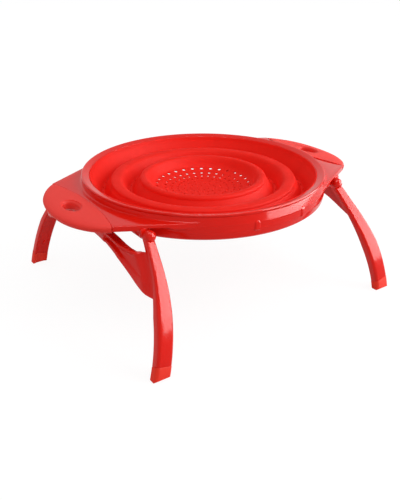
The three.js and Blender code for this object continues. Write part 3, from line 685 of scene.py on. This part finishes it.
# Rows of drain holes: radius, drop, number, hole radius, first hole in degrees, and lean
OUTER_HOLES = (104.9, 23, 45, 1.15, 2)
MIDDLE_HOLES = (76.3, 23, 30, 1.1, 9)
DISH_HOLES = [
    (48.5, 17.9, 30, 1.85, 9, 0.58), (39.7, 20.0, 30, 1.45, 9, 0.5), (33.3, 21.4, 30, 1.25, 9, 0.45),
    (26.5, 22, 30, 1.0, 9, 0.3), (19.8, 22.3, 15, 1.0, 9), (13.0, 22.5, 15, 0.9, 21),
    (6.0, 22.6, 6, 0.9, 9)]
# Each fold: the radii of its groove and crest, and the bodies that it joins
FOLDS = [("outer", (105.0, 96.4), ("colander", "middle_ring")),
         ("inner", (76.4, 66.0), ("middle_ring", "dish"))]
# Two drops along a fold, the lower and the higher
FOLD_LOW, FOLD_HIGH = 22.0, 12.2


def drain_rods(radius, below, count, hole, start, lean=0.0):
    """One slim rod through the silicone for each hole of a row."""
    rods = []
    for i in range(count):
        angle = math.radians(start + 360 / count * i)
        out = Vector((math.cos(angle), math.sin(angle), 0))
        foot, head = (out * (radius + lean * half) + Vector((0, 0, drop(below + half)))
                      for half in (ROD_HALF, -ROD_HALF))
        rods.append(round_bar("rod", hole, foot, head, ROD_SIDES))
    return joined(rods, "rods")


def drained(name, profile, *rows):
    """Turns a part of the bowl and cuts its rows of drain holes."""
    piece = turned_ring(name, profile)
    rods = [drain_rods(*row) for row in rows]
    cutter = joined(rods, "rods") if len(rods) > 1 else rods[0]
    return smooth(combined(piece, cutter, "DIFFERENCE"), degrees=40)


def outer_wall():
    wall = settings("bowl").wall
    upper = curve_through([
        (117.3, 1.95), (116.5, 2.3), (115.3, 6), (112.2, 11.6), (108.8, 17.3), (106.9, 20.6),
        (105.6, 21.9), (104.6, GROOVE_DROP), (103.35, GROOVE_DROP)], count=40)
    lower = curve_through([
        (103.35, GROOVE_DROP + wall), (105.2, 24.3), (107.4, 23.2), (109.9, 19.4), (113.2, 13.6),
        (116.6, 7.4), (117.9, 5.45)], count=30)
    flange = [Vector(p) for p in ((122.5, 5.45), (122.5, 3.55), (117.75, 3.55), (117.75, 2.3))]
    return drained("bowl_wall", [*upper, *lower, *flange], OUTER_HOLES)


def fold(name, groove, crest):
    """Silicone wall between a groove and the next crest, which turns inside out."""
    wall = settings("bowl").wall
    low, high = groove - 1.68, crest + 0.1
    upper = curve_through([
        (low + 1.1, 22.45), (low, 22.33), (low - 1.0, 21.7), (low - 2.2, 19.8), (high + 2.4, 14.6),
        (high + 0.85, 12.6), (high - 0.12, 11.2), (high - 0.9, 9.95)], count=30)
    lower = curve_through([
        (high - 1.5, 10.8), (high - 0.7, 12.6), (high + 0.6, 15.4), (low - 4.0, 21.6),
        (low - 2.2, 23.7), (low - 1.0, 24.2), (low + 1.1, 22.2 + wall)], count=28)
    return turned_ring(name, [*upper, *lower])


def middle_ring():
    wall = settings("bowl").wall
    upper = curve_through([
        (96.4, 11.2), (95.9, 9.5), (94.5, 8.6), (91.5, 8.2), (87.8, 8.3), (85.2, 9.1), (83.0, 11.6),
        (80.6, 16.0), (78.6, 19.8), (77.4, 21.7), (76.3, GROOVE_DROP), (74.8, GROOVE_DROP)], count=60)
    lower = curve_through([
        (74.8, GROOVE_DROP + wall), (76.9, 24.3), (78.6, 23.2), (80.6, 19.9), (84.6, 12.6),
        (86.2, 10.9), (88.2, 10.3), (91.4, 10.2), (93.4, 10.5), (94.6, 12.1)], count=50)
    return drained("bowl_middle", [*upper, *lower], MIDDLE_HOLES)


def dish():
    thin = settings("bowl").wall * DISH_SHARE
    upper = curve_through([
        (66.0, 11.2), (65.7, 9.3), (64.7, 8.0), (62.9, 7.4), (60.4, 7.4), (58.2, 8.3), (56.0, 11.0),
        (53.6, 14.6), (51.2, 16.9), (48.5, 17.9), (44, 18.95), (39.7, 20.0), (33.4, 21.35),
        (26, 22.1), (14, 22.5), (0, 22.6)], count=90)
    floor = [(0, 22.6), (14, 22.5), (26, 22.1), (33.6, 21.35), (40.0, 20.0), (44.4, 18.95),
             (49.0, 17.95), (52.2, 17.2), (54.8, 15.5)]
    under_crest = [(57.4, 13.0), (59.6, 10.2), (61.6, 9.5), (63.5, 9.9), (64.2, 12.0)]
    lower = curve_through([(radius, below + thin) for radius, below in floor] + under_crest, count=60)
    return drained("bowl_dish", [*upper, *lower], *DISH_HOLES)


class COLANDER_OT_bowl(bpy.types.Operator):
    """Builds the silicone bowl, folded flat in two tiers, with its rows of drain holes"""
    bl_idname = "colander.bowl"
    bl_label = "Bowl"

    def execute(self, context):
        finished(outer_wall(), "colander", "silicone", "bowl_outer_wall")
        finished(middle_ring(), "middle_ring", "silicone", "bowl_middle_ring")
        finished(dish(), "dish", "silicone", "bowl_centre_dish")
        low, high = (0, 0, drop(FOLD_LOW) * MM), (0, 0, drop(FOLD_HIGH) * MM)
        for name, radii, bodies in FOLDS:
            piece = fold(f"bowl_{name}_turn", *radii)
            finished(piece, bodies[0], "silicone", f"bowl_{name}_fold")
            piece.parent = None
            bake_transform(piece)
        return {"FINISHED"}


# ---------------- grips

# Distance in from the edge, and drop below the wing's top at the corners and at the middle of the edge
GRIP_ROWS = [
    (34, -0.7, -0.5), (27, -0.7, -0.3), (20, -0.7, 0.0), (12, -0.7, 0.5), (7, -0.6, 1.1),
    (3.6, -0.3, 1.9), (1.6, 0.3, 2.8), (0.5, 1.1, 3.7), (0, 2.4, 4.8), (0.5, 4.6, 6.6), (1.6, 6.4, 8.3),
    (3.6, 7.6, 9.4), (6.5, 8.2, 10.0)]
# Distance from the seam over which the grip swells to its full thickness
GRIP_SWELL = 15
# The hang hole: its centre out from the ring, its half sizes, and the rounding of its rims
HOLE_OUT, HOLE_HALF_X, HOLE_HALF_Y, HOLE_FLARE = 24.8, 6.4, 12.6, 3.0
# Drops of its two rims below the wing's top
HOLE_TOP, HOLE_BOTTOM = 0.2, 9.4


def grip_half(inset, halvings=40):
    """Half width at which the grip's inset edge meets the seam."""
    low, high = 0.0, handle_corner().y
    for _ in range(halvings):
        y = (low + high) / 2
        if grip_end_x(y, inset) > seam_x(y):
            low = y
        else:
            high = y
    return low


def grip():
    """Soft pad moulded round the end of a wing, thickest in the middle of its outer edge."""
    top, corner = settings("ring").wing_drop, handle_corner()
    edge_steps, seam_steps, rows = 72, 24, []
    for inset, edge_drop, middle_drop in GRIP_ROWS:
        half = grip_half(inset)
        ys = [-half * math.cos(math.pi * i / edge_steps) for i in range(edge_steps + 1)]
        row = [(grip_end_x(y, inset), y) for y in ys]
        ys = [half - 2 * half * (i + 0.5) / seam_steps for i in range(seam_steps)]
        row += [(seam_x(y), y) for y in ys]
        points = []
        for x, y in row:
            swell = clamped((x - seam_x(0)) / GRIP_SWELL)
            across = max(0.0, 1 - (y / corner.y) ** 2) * swell
            points.append((x, y, drop(top + edge_drop + (middle_drop - edge_drop) * across)))
        rows.append(points)
    return skinned("grip", rows)


def hang_hole():
    """Cutter for the oval hole, flared at both ends so that its rims come out rounded."""
    ring = settings("ring")
    centre = ring.radius + HOLE_OUT
    rows = []
    for rim, way in ((ring.wing_drop + HOLE_TOP, 1), (ring.wing_drop + HOLE_BOTTOM, -1)):
        lip = [(rim - way * 5, HOLE_FLARE)]
        lip += [(rim + way * HOLE_FLARE * (1 - math.cos(a)), HOLE_FLARE * (1 - math.sin(a)))
                for a in [QUARTER * k / 10 for k in range(1, 11)]]
        rows += lip if way > 0 else reversed(lip)
    angles = [math.tau * k / 64 for k in range(64)]
    return skinned("hole", [
        [(centre + (HOLE_HALF_X + more) * math.cos(a), (HOLE_HALF_Y + more) * math.sin(a), drop(below))
         for a in angles] for below, more in rows])


class COLANDER_OT_grips(bpy.types.Operator):
    """Builds the two soft grips with their hang holes"""
    bl_idname = "colander.grips"
    bl_label = "Grips"

    def execute(self, context):
        right = smooth(combined(grip(), hang_hole(), "DIFFERENCE"))
        right.name = right.data.name = "right_pad"
        left = copied(right, "left_pad", HALF_TURN)
        finished(right, "colander", "soft_grip", "right_grip")
        finished(left, "colander", "soft_grip", "left_grip")
        return {"FINISHED"}


# ---------------- legs

# Legs are drawn folded under the ring: v runs inwards from the hinge, y to the side, and w points down.
# open_out() then turns them about the hinge to where they stand.

# Share of the neck's length at which it bends towards the eye
NECK_BEND = 0.62
# Distance down the leg, thickness, lower and upper edge, and depth of the channel inside
LEG_ROWS = [
    (0, 6.4, -4.6, 5.0, 0), (5, 6.4, -4.6, 5.2, 0), (9, 6.3, -5.0, 5.6, 0.1),
    (18, 6.2, -5.2, NECK_RISE, 0.3), (34, 6.8, -6.4, 7.2, 0.8), (46, 7.9, -7.6, 7.6, 1.0),
    (58, 9.0, -8.6, 7.8, 1.0)]
# Share of a leg's width from its middle to the corners of its crowned face
CROWN = 0.37
LEG_STEPS = 46
# The strap at a distance to each side: its top and low edge from the hinge, and its outer face
STRAP_TOP = [(0, 10.8), (43, 13.2), (62, 15), (78, 14.8), (90, 12), (104, 11.4)]
STRAP_LOW = [(0, 21.2), (22, 21.6), (39, 23.7), (55, 27.2), (67, 32.3), (78, 37.4), (89, 42.3),
             (102, 45.5), (116, 45.6)]
STRAP_FACE = [(0, 17), (55, 17), (67, 15), (78, 12.8), (89, 11.2), (102, 10.2), (116, 9.6)]
STRAP_STATIONS = [0, 12, 24, 31, 32.6, 33.4, 34.2, 35, 36, 38, 42, 48, 54, 60, 66, 70, 71.9, 72.1, 75, 78,
                  80, 82, 84, 86, 88, 90, 92, 94, 97, 100, 104, 108, 113]
# The strap's inner face under the skirt, and nearer the hinge from ROOT_SIDE outwards
STRAP_BACK, STRAP_ROOT, ROOT_SIDE = 8.2, 4.0, 72
# The hollow in the strap's face: its share of the strap's depth, and where it fades in and out
HOLLOW_SHARE, HOLLOW_FROM, HOLLOW_TO = 0.46, 33.0, 101
# The heel that stops a leg: how far it reaches past the eye, its width, height and top
HEEL_REACH, HEEL_WIDTH, HEEL_HEIGHT, HEEL_TOP = 0.8, 4, 7.9, 6.9
# A foot cap: its height, the slant of its seam, and the gap between the feet of two folded legs
CAP_HEIGHT, CAP_SLANT, FOOT_GAP = 14.1, 1.1, 1.06
# How far a cap stands out from its leg, and its gap at the seam
CAP_GROW, CAP_SEAM = 0.15, 0.3
# How far a pin's shank reaches past the eye into the knuckle, its radius and that of its tip
SHANK_REACH, SHANK_RADIUS, SHANK_TIP = 13.3, 2.2, 1.7


def open_out():
    """Turns a folded leg to where it stands."""
    turn = Matrix.Rotation(-math.radians(90 + SPLAY), 4, "Y")
    hinge = Matrix.Translation(Vector((HINGE_X, 0, drop(HINGE_DROP))) * MM)
    return hinge @ turn


def leg_station(v):
    """Middle of the leg and its outward direction, v down from the hinge."""
    leg = settings("leg")
    if v >= NECK:
        x = HINGE_X - v
        middle = Vector((x, math.sqrt(leg.arc ** 2 - x * x)))
        return middle, middle.normalized()
    start = Vector((HINGE_X - NECK, math.sqrt(leg.arc ** 2 - (HINGE_X - NECK) ** 2)))
    along = Vector((start.y, -start.x)).normalized()
    eye = Vector((HINGE_X, sum(eye_span()) / 2))
    bend = start + along * NECK * NECK_BEND
    t = 1 - v / NECK
    middle = (1 - t) ** 2 * start + 2 * t * (1 - t) * bend + t * t * eye
    way = (2 * (1 - t) * (bend - start) + 2 * t * (eye - bend)).normalized()
    return middle, Vector((-way.y, way.x))


def leg_sizes(v):
    """Thickness, lower and upper edge and channel of the leg at v."""
    return [read_curve([(row[0], row[k]) for row in LEG_ROWS], v) for k in range(1, 5)]


def leg_section(v, grow=0.0, slant=0.0):
    """Points round the leg at v: a crowned outer face, soft corners and a channel inside."""
    thickness, low, high, channel = leg_sizes(v)
    half, low, high = thickness / 2 + grow, low + 0.35 - grow, high - 0.35 + grow
    middle = (low + high) / 2
    crown = (high - low) * CROWN
    outline = rounded([
        (half, middle + crown, 1.6), (half * 0.66, high - 0.25, 0.9), (half * 0.4, high, 0.6),
        (-half, high, 0.7), (-half, high - 2.2, 0.25), (-half + channel, high - 2.9, 0.25),
        (-half + channel, low + 2.9, 0.25), (-half, low + 2.2, 0.25), (-half, low, 0.7),
        (half * 0.4, low, 0.6), (half * 0.66, low + 0.25, 0.9), (half, middle - crown, 1.6)], steps=3)
    points = []
    for p in outline:
        centre, out = leg_station(v - slant * p.x / half)
        points.append((centre.x + out.x * p.x - HINGE_X, centre.y + out.y * p.x, -p.y))
    return points


def leg_bar(seam):
    rows = [leg_section(seam * k / LEG_STEPS) for k in range(LEG_STEPS)]
    return skinned("leg", [*rows, leg_section(seam, slant=CAP_SLANT)])


def strap_section(y):
    """Points round the strap at y. Near a leg its outer face sinks into the leg's own."""
    arc = settings("leg").arc
    across = abs(y)
    top, low, out = (read_curve(knots, across) for knots in (STRAP_TOP, STRAP_LOW, STRAP_FACE))
    fade_in, fade_out = clamped((across - HOLLOW_FROM) / 2.2), clamped((HOLLOW_TO - across) / 12)
    hollow = (out - STRAP_BACK) * HOLLOW_SHARE * fade_in * fade_out
    inn = STRAP_BACK if across < ROOT_SIDE else STRAP_ROOT
    lip, border = top + 2.4, low - (low - top) * 0.28
    start = lip + 3.2
    span = max(border - 2.0 - start, 0.3)

    def face(v, depth):
        """Point on the outer face, sunk into the leg where it comes near."""
        t = clamped((math.hypot(HINGE_X - v, y) - arc + 10.9) / 7.0)
        sunk = t * t * (3 - 2 * t)
        return v, (out - depth) * (1 - sunk) + (-leg_sizes(v)[1] - 0.5) * sunk

    outline = rounded([
        (top, inn, 0.5), (*face(top, 0), 1.0), (*face(lip, 0), 0.7), (*face(lip + 1.4, hollow * 0.8), 1.2),
        (*face(start, hollow), 2.0), *[face(start + span * k / 5, hollow + 0.04 * k) for k in range(1, 5)],
        (*face(start + span, 0.2 + hollow * 0.95), 2.0), (*face(border, 0.3 + hollow * 0.3), 1.0),
        (*face(low, 0.5 + hollow * 0.2), 1.2), (low, inn, 0.5)], steps=4)
    return [(-p.x, y, p.y) for p in outline]


def strap_bar():
    """Strap between two legs, cut off inside their outer faces and clear of the ring's skirt."""
    stations = [-y for y in reversed(STRAP_STATIONS[1:])] + STRAP_STATIONS
    bar = skinned("strap", [strap_section(y) for y in stations])
    leg, ring = settings("leg"), settings("ring")
    combined(bar, disc("outside", leg.arc + 1.9, -40, 40, -HINGE_X), "INTERSECT")
    return combined(bar, disc("room", ring.radius + 2, -3, STRAP_BACK, -HINGE_X), "DIFFERENCE")


def eye_barrel():
    """Round eye at the top of a leg, and the heel that stops the leg."""
    inner, outer = eye_span()
    eye = round_bar("eye", EYE_RADIUS, (0, inner, 0), (0, outer, 0), sides=64)
    bevelled(eye, 0.8, segments=4, degrees=60)
    reach, near, far = EYE_RADIUS + HEEL_REACH, inner + 0.2, inner + HEEL_WIDTH
    heel = slab("heel", [(0, near), (reach, near), (reach, far), (0, far)], 0, HEEL_HEIGHT)
    heel.data.transform(Matrix.Translation((0, 0, (HEEL_TOP - RIM_Z) * MM)))
    bevelled(heel, 0.5, segments=2, degrees=60)
    heel.data.transform(Matrix.Rotation(math.radians(90 + SPLAY), 4, "Y"))
    return joined([eye, heel], "eye")


def folded_to_open(piece):
    """Sets a piece drawn with w pointing up into the folded frame, then opens it out."""
    piece.data.transform(open_out() @ Matrix.Diagonal((1, 1, -1, 1)))
    edit(piece, (bpy.ops.mesh.flip_normals, {}))
    return piece


def snap_bump():
    """Short rib inside the leg that catches on the ring's clip."""
    leg = settings("leg")
    deselect_all()
    bpy.ops.mesh.primitive_uv_sphere_add(segments=24, ring_count=12, radius=MM)
    bump = named("bump")
    half_sizes = (2.6, 3.3, 1.4, 1)
    middle = Vector((leg.arc - leg.thickness / 2 + 1.9, 0, -0.8)) * MM
    for step in (Matrix.Diagonal(half_sizes), Matrix.Translation(middle),
                 Matrix.Rotation(QUARTER - CLIP_ANGLE, 4, "Z"), Matrix.Translation((-HINGE_X * MM, 0, 0))):
        bump.data.transform(step)
    return bump


def seam_v():
    """Distance down the leg of the seam between leg and foot cap."""
    return HINGE_X - FOOT_GAP - CAP_HEIGHT


def foot_cap():
    """Rubber shoe on the end of the leg, standing and cut level with the table."""
    start, end, lip = seam_v() + CAP_SEAM, HINGE_X + 2, 0.5
    rows = [leg_section(start, -0.25, CAP_SLANT), leg_section(start + 0.15, 0.05, CAP_SLANT)]
    for k in range(10):
        v = start + lip + (end - start - lip) * k / 9
        rows.append(leg_section(v, CAP_GROW, CAP_SLANT * max(0, 1 - k / 4)))
    cap = folded_to_open(skinned("cap", rows))
    combined(cap, table_block(), "DIFFERENCE")
    combined(cap, sole_edge(), "DIFFERENCE")
    return smooth(bevelled(cap, 0.7, segments=3, degrees=40))


def table_block(half=200):
    """Cutter that fills the space under the table's top."""
    plan = [(half, half), (-half, half), (-half, -half), (half, -half)]
    return slab("under", plan, RIM_Z, RIM_Z + 40)


def sole_edge():
    """Cutter that lifts the outer edge of a sole off the table."""
    y = settings("leg").arc + 1.2
    corner = [(y, -0.5), (y + 6, 4.4), (y + 6, -3), (y, -3)]
    return skinned("sole_edge", [[(x, a, b) for a, b in corner] for x in (60, 260)])


def hinge_pin():
    """Domed head and shank of a hinge pin."""
    inner, outer = eye_span()
    shoulder, tip = outer + 0.3, inner - SHANK_REACH
    reach = shoulder + KNOB_REACH
    first = -math.asin(KNOB_REACH / KNOB_RADIUS)
    ball = [(KNOB_RADIUS * math.cos(a), reach + KNOB_RADIUS * math.sin(a))
            for a in [first + (QUARTER - first) * k / 18 for k in range(18)]]
    shank = [(0, tip), (SHANK_TIP, tip), (SHANK_RADIUS, inner - 12.5), (SHANK_RADIUS, shoulder)]
    profile = [*shank, *ball, (0, reach + KNOB_RADIUS)]
    height = drop(HINGE_DROP)
    outline = [(HINGE_X + r, y, height) for r, y in profile]
    return smooth(spun("pin", outline, 48, (HINGE_X, 0, height), (0, 1, 0)), degrees=50)


def leg_frame():
    """Right leg frame: two legs with their eyes and bumps, and the strap between them."""
    bar = smooth(folded_to_open(leg_bar(seam_v())), degrees=50)
    eye = eye_barrel()
    eye.data.transform(open_out())
    smooth(eye)
    bump = folded_to_open(snap_bump())
    rear = joined([bar, smooth(bump), eye], "leg_side")
    front = copied(rear, "leg_front", MIRROR_Y)
    strap = smooth(folded_to_open(strap_bar()), degrees=40)
    return joined([strap, rear, front], "right_legs_bar")


class COLANDER_OT_legs(bpy.types.Operator):
    """Builds the two folding leg frames, their foot caps and their hinge pins"""
    bl_idname = "colander.legs"
    bl_label = "Legs"

    def execute(self, context):
        right = leg_frame()
        left = copied(right, "left_legs_bar", HALF_TURN)
        finished(right, "right_legs", "frame_plastic", "right_leg_frame")
        finished(left, "left_legs", "frame_plastic", "left_leg_frame")
        places = {"right_rear": Matrix.Identity(4), "right_front": MIRROR_Y,
                  "left_front": HALF_TURN, "left_rear": HALF_TURN @ MIRROR_Y}
        cap, pin = foot_cap(), hinge_pin()
        for place, matrix in places.items():
            shoe = copied(cap, f"{place}_shoe", matrix)
            finished(shoe, place.split("_")[0] + "_legs", "foot_rubber", f"{place}_foot_cap")
        for place, matrix in places.items():
            stud = copied(pin, f"{place}_stud", matrix)
            finished(stud, "colander", "pin_plastic", f"{place}_hinge_pin")
        for pattern in (cap, pin):
            bpy.data.objects.remove(pattern)
        return {"FINISHED"}


# ---------------- stage

# The camera's place seen from the middle of the rim, in degrees and metres
CAMERA_AZIMUTH, CAMERA_ELEVATION, CAMERA_DISTANCE = -35.077, 19.197, 0.681
# How far it is turned away from that line, and its lens and sensor in millimetres
LOOK_AZIMUTH, LOOK_ELEVATION, CAMERA_LENS, CAMERA_SENSOR = 0.274, 7.280, 46.62, 36.0
# Lamps: place and target in metres, width, power in watts, and height
SOFTBOX = ((0.86, -1.1, 0.85), (0, 0, 0.1), 0.9, 11, 1.3)
# Cards that only shiny surfaces see
CARDS = {
    "wide_card": ((0.59, -0.46, 0.56), (0, 0, 0.56), 0.98, 52, 1.1),
    "top_card": ((-0.1, -0.3, 1.7), (0, 0, 0), 1.2, 36, 1.2),
}
# The floor's size in metres, its own brightness, and the share of it that takes no shadow
FLOOR_SIZE, FLOOR_GLOW, FLOOR_GLOW_SHARE = 12, 1.2, 0.75
FLOOR_DARK, FLOOR_PALE = (0.48, 0.48, 0.48), (0.5, 0.5, 0.5)
# The surround's strength as light and as it is seen
WHITE, SKY_LIGHT, SKY_SEEN = (1, 1, 1), 0.74, 1.0


def direction(azimuth, elevation):
    """Unit vector from the object, with azimuth 0 towards -Y."""
    a, e = math.radians(azimuth), math.radians(elevation)
    return Vector((math.sin(a) * math.cos(e), -math.cos(a) * math.cos(e), math.sin(e)))


def area_lamp(name, place, target, width, power, height):
    data = bpy.data.lights.new(name, "AREA")
    data.shape, data.energy, data.size, data.size_y = "RECTANGLE", power, width, height
    lamp = bpy.data.objects.new(name, data)
    bpy.context.scene.collection.objects.link(lamp)
    lamp.location = place
    lamp.rotation_euler = (Vector(place) - Vector(target)).to_track_quat("Z", "Y").to_euler()
    return lamp


def seen_plainly(finish):
    """1 for what is seen directly or in a glossy or clear surface, and 0 for light falling on things."""
    camera, glossy, clear = (finish.node("ShaderNodeLightPath", out=f"Is {ray} Ray")
                             for ray in ("Camera", "Glossy", "Transmission"))
    return camera + glossy + clear


class COLANDER_OT_stage(bpy.types.Operator):
    """Sets up the floor, the lamps and the camera"""
    bl_idname = "colander.stage"
    bl_label = "Stage"

    def execute(self, context):
        scene = context.scene
        scene.view_settings.view_transform = "Standard"
        self.floor()
        self.sky(scene)
        area_lamp("softbox", *SOFTBOX)
        for name, shape in CARDS.items():
            card = area_lamp(name, *shape)
            card.visible_diffuse = card.visible_camera = False
        self.camera(scene)
        return {"FINISHED"}

    def floor(self):
        """White floor that keeps the object's shadow."""
        deselect_all()
        bpy.ops.mesh.primitive_plane_add(size=FLOOR_SIZE)
        floor = named("floor")
        finish = Finish(bpy.data.materials.new("floor_white"))
        cloud = finish.noise(scale=3.0)
        plain = finish.principled(base_color=finish.mixed(cloud, FLOOR_DARK, FLOOR_PALE), roughness=0.9)
        glow = finish.node("ShaderNodeEmission", values={"Color": WHITE, "Strength": FLOOR_GLOW})
        share = seen_plainly(finish) * FLOOR_GLOW_SHARE
        lit = finish.node("ShaderNodeMixShader", values={0: share, 1: plain, 2: glow})
        floor.data.materials.append(finish.surfaced(lit))

    def sky(self, scene):
        """White surround, a little dimmer for the light that it throws on things."""
        sky = Finish(bpy.data.worlds.new("studio"), "ShaderNodeOutputWorld")
        dim, white = (sky.node("ShaderNodeBackground", values={"Color": WHITE, "Strength": strength})
                      for strength in (SKY_LIGHT, SKY_SEEN))
        mix = sky.node("ShaderNodeMixShader", values={0: seen_plainly(sky), 1: dim, 2: white})
        scene.world = sky.surfaced(mix)

    def camera(self, scene):
        data = bpy.data.cameras.new("camera")
        camera = bpy.data.objects.new("camera", data)
        scene.collection.objects.link(camera)
        data.sensor_width, data.sensor_fit, data.lens = CAMERA_SENSOR, "AUTO", CAMERA_LENS
        data.clip_start, data.clip_end = 0.01, 20
        rim = Vector((0, 0, RIM_Z * MM))
        camera.location = rim + direction(CAMERA_AZIMUTH, CAMERA_ELEVATION) * CAMERA_DISTANCE
        back = direction(CAMERA_AZIMUTH + LOOK_AZIMUTH, CAMERA_ELEVATION + LOOK_ELEVATION)
        camera.rotation_euler = (-back).to_track_quat("-Z", "Y").to_euler()
        scene.camera = camera


# ---------------- panel and main

class COLANDER_PT_panel(bpy.types.Panel):
    """Buttons for each group of pieces"""
    bl_label = "Colander"
    bl_space_type = "VIEW_3D"
    bl_region_type = "UI"
    bl_category = "Colander"

    def draw(self, context):
        for group in SETTINGS:
            box = self.layout.box()
            values = settings(group)
            for name in values.__annotations__:
                box.prop(values, name)
        for operator in OPERATORS:
            self.layout.operator(operator.bl_idname)


SETTINGS = {"ring": RingSettings, "bowl": BowlSettings, "handle": HandleSettings, "leg": LegSettings}
OPERATORS = (COLANDER_OT_stage, COLANDER_OT_ring, COLANDER_OT_bowl, COLANDER_OT_grips, COLANDER_OT_legs)


def register():
    for kind in (*SETTINGS.values(), *OPERATORS, COLANDER_PT_panel):
        bpy.utils.register_class(kind)
    for group, kind in SETTINGS.items():
        setattr(bpy.types.Scene, f"colander_{group}", bpy.props.PointerProperty(type=kind))


def unregister():
    for group in SETTINGS:
        delattr(bpy.types.Scene, f"colander_{group}")
    for kind in (COLANDER_PT_panel, *reversed(OPERATORS), *SETTINGS.values()):
        bpy.utils.unregister_class(kind)


def main():
    register()
    for operator in OPERATORS:
        getattr(bpy.ops.colander, operator.bl_idname.split(".")[1])()
    deselect_all()


if __name__ == "__main__":
    main()
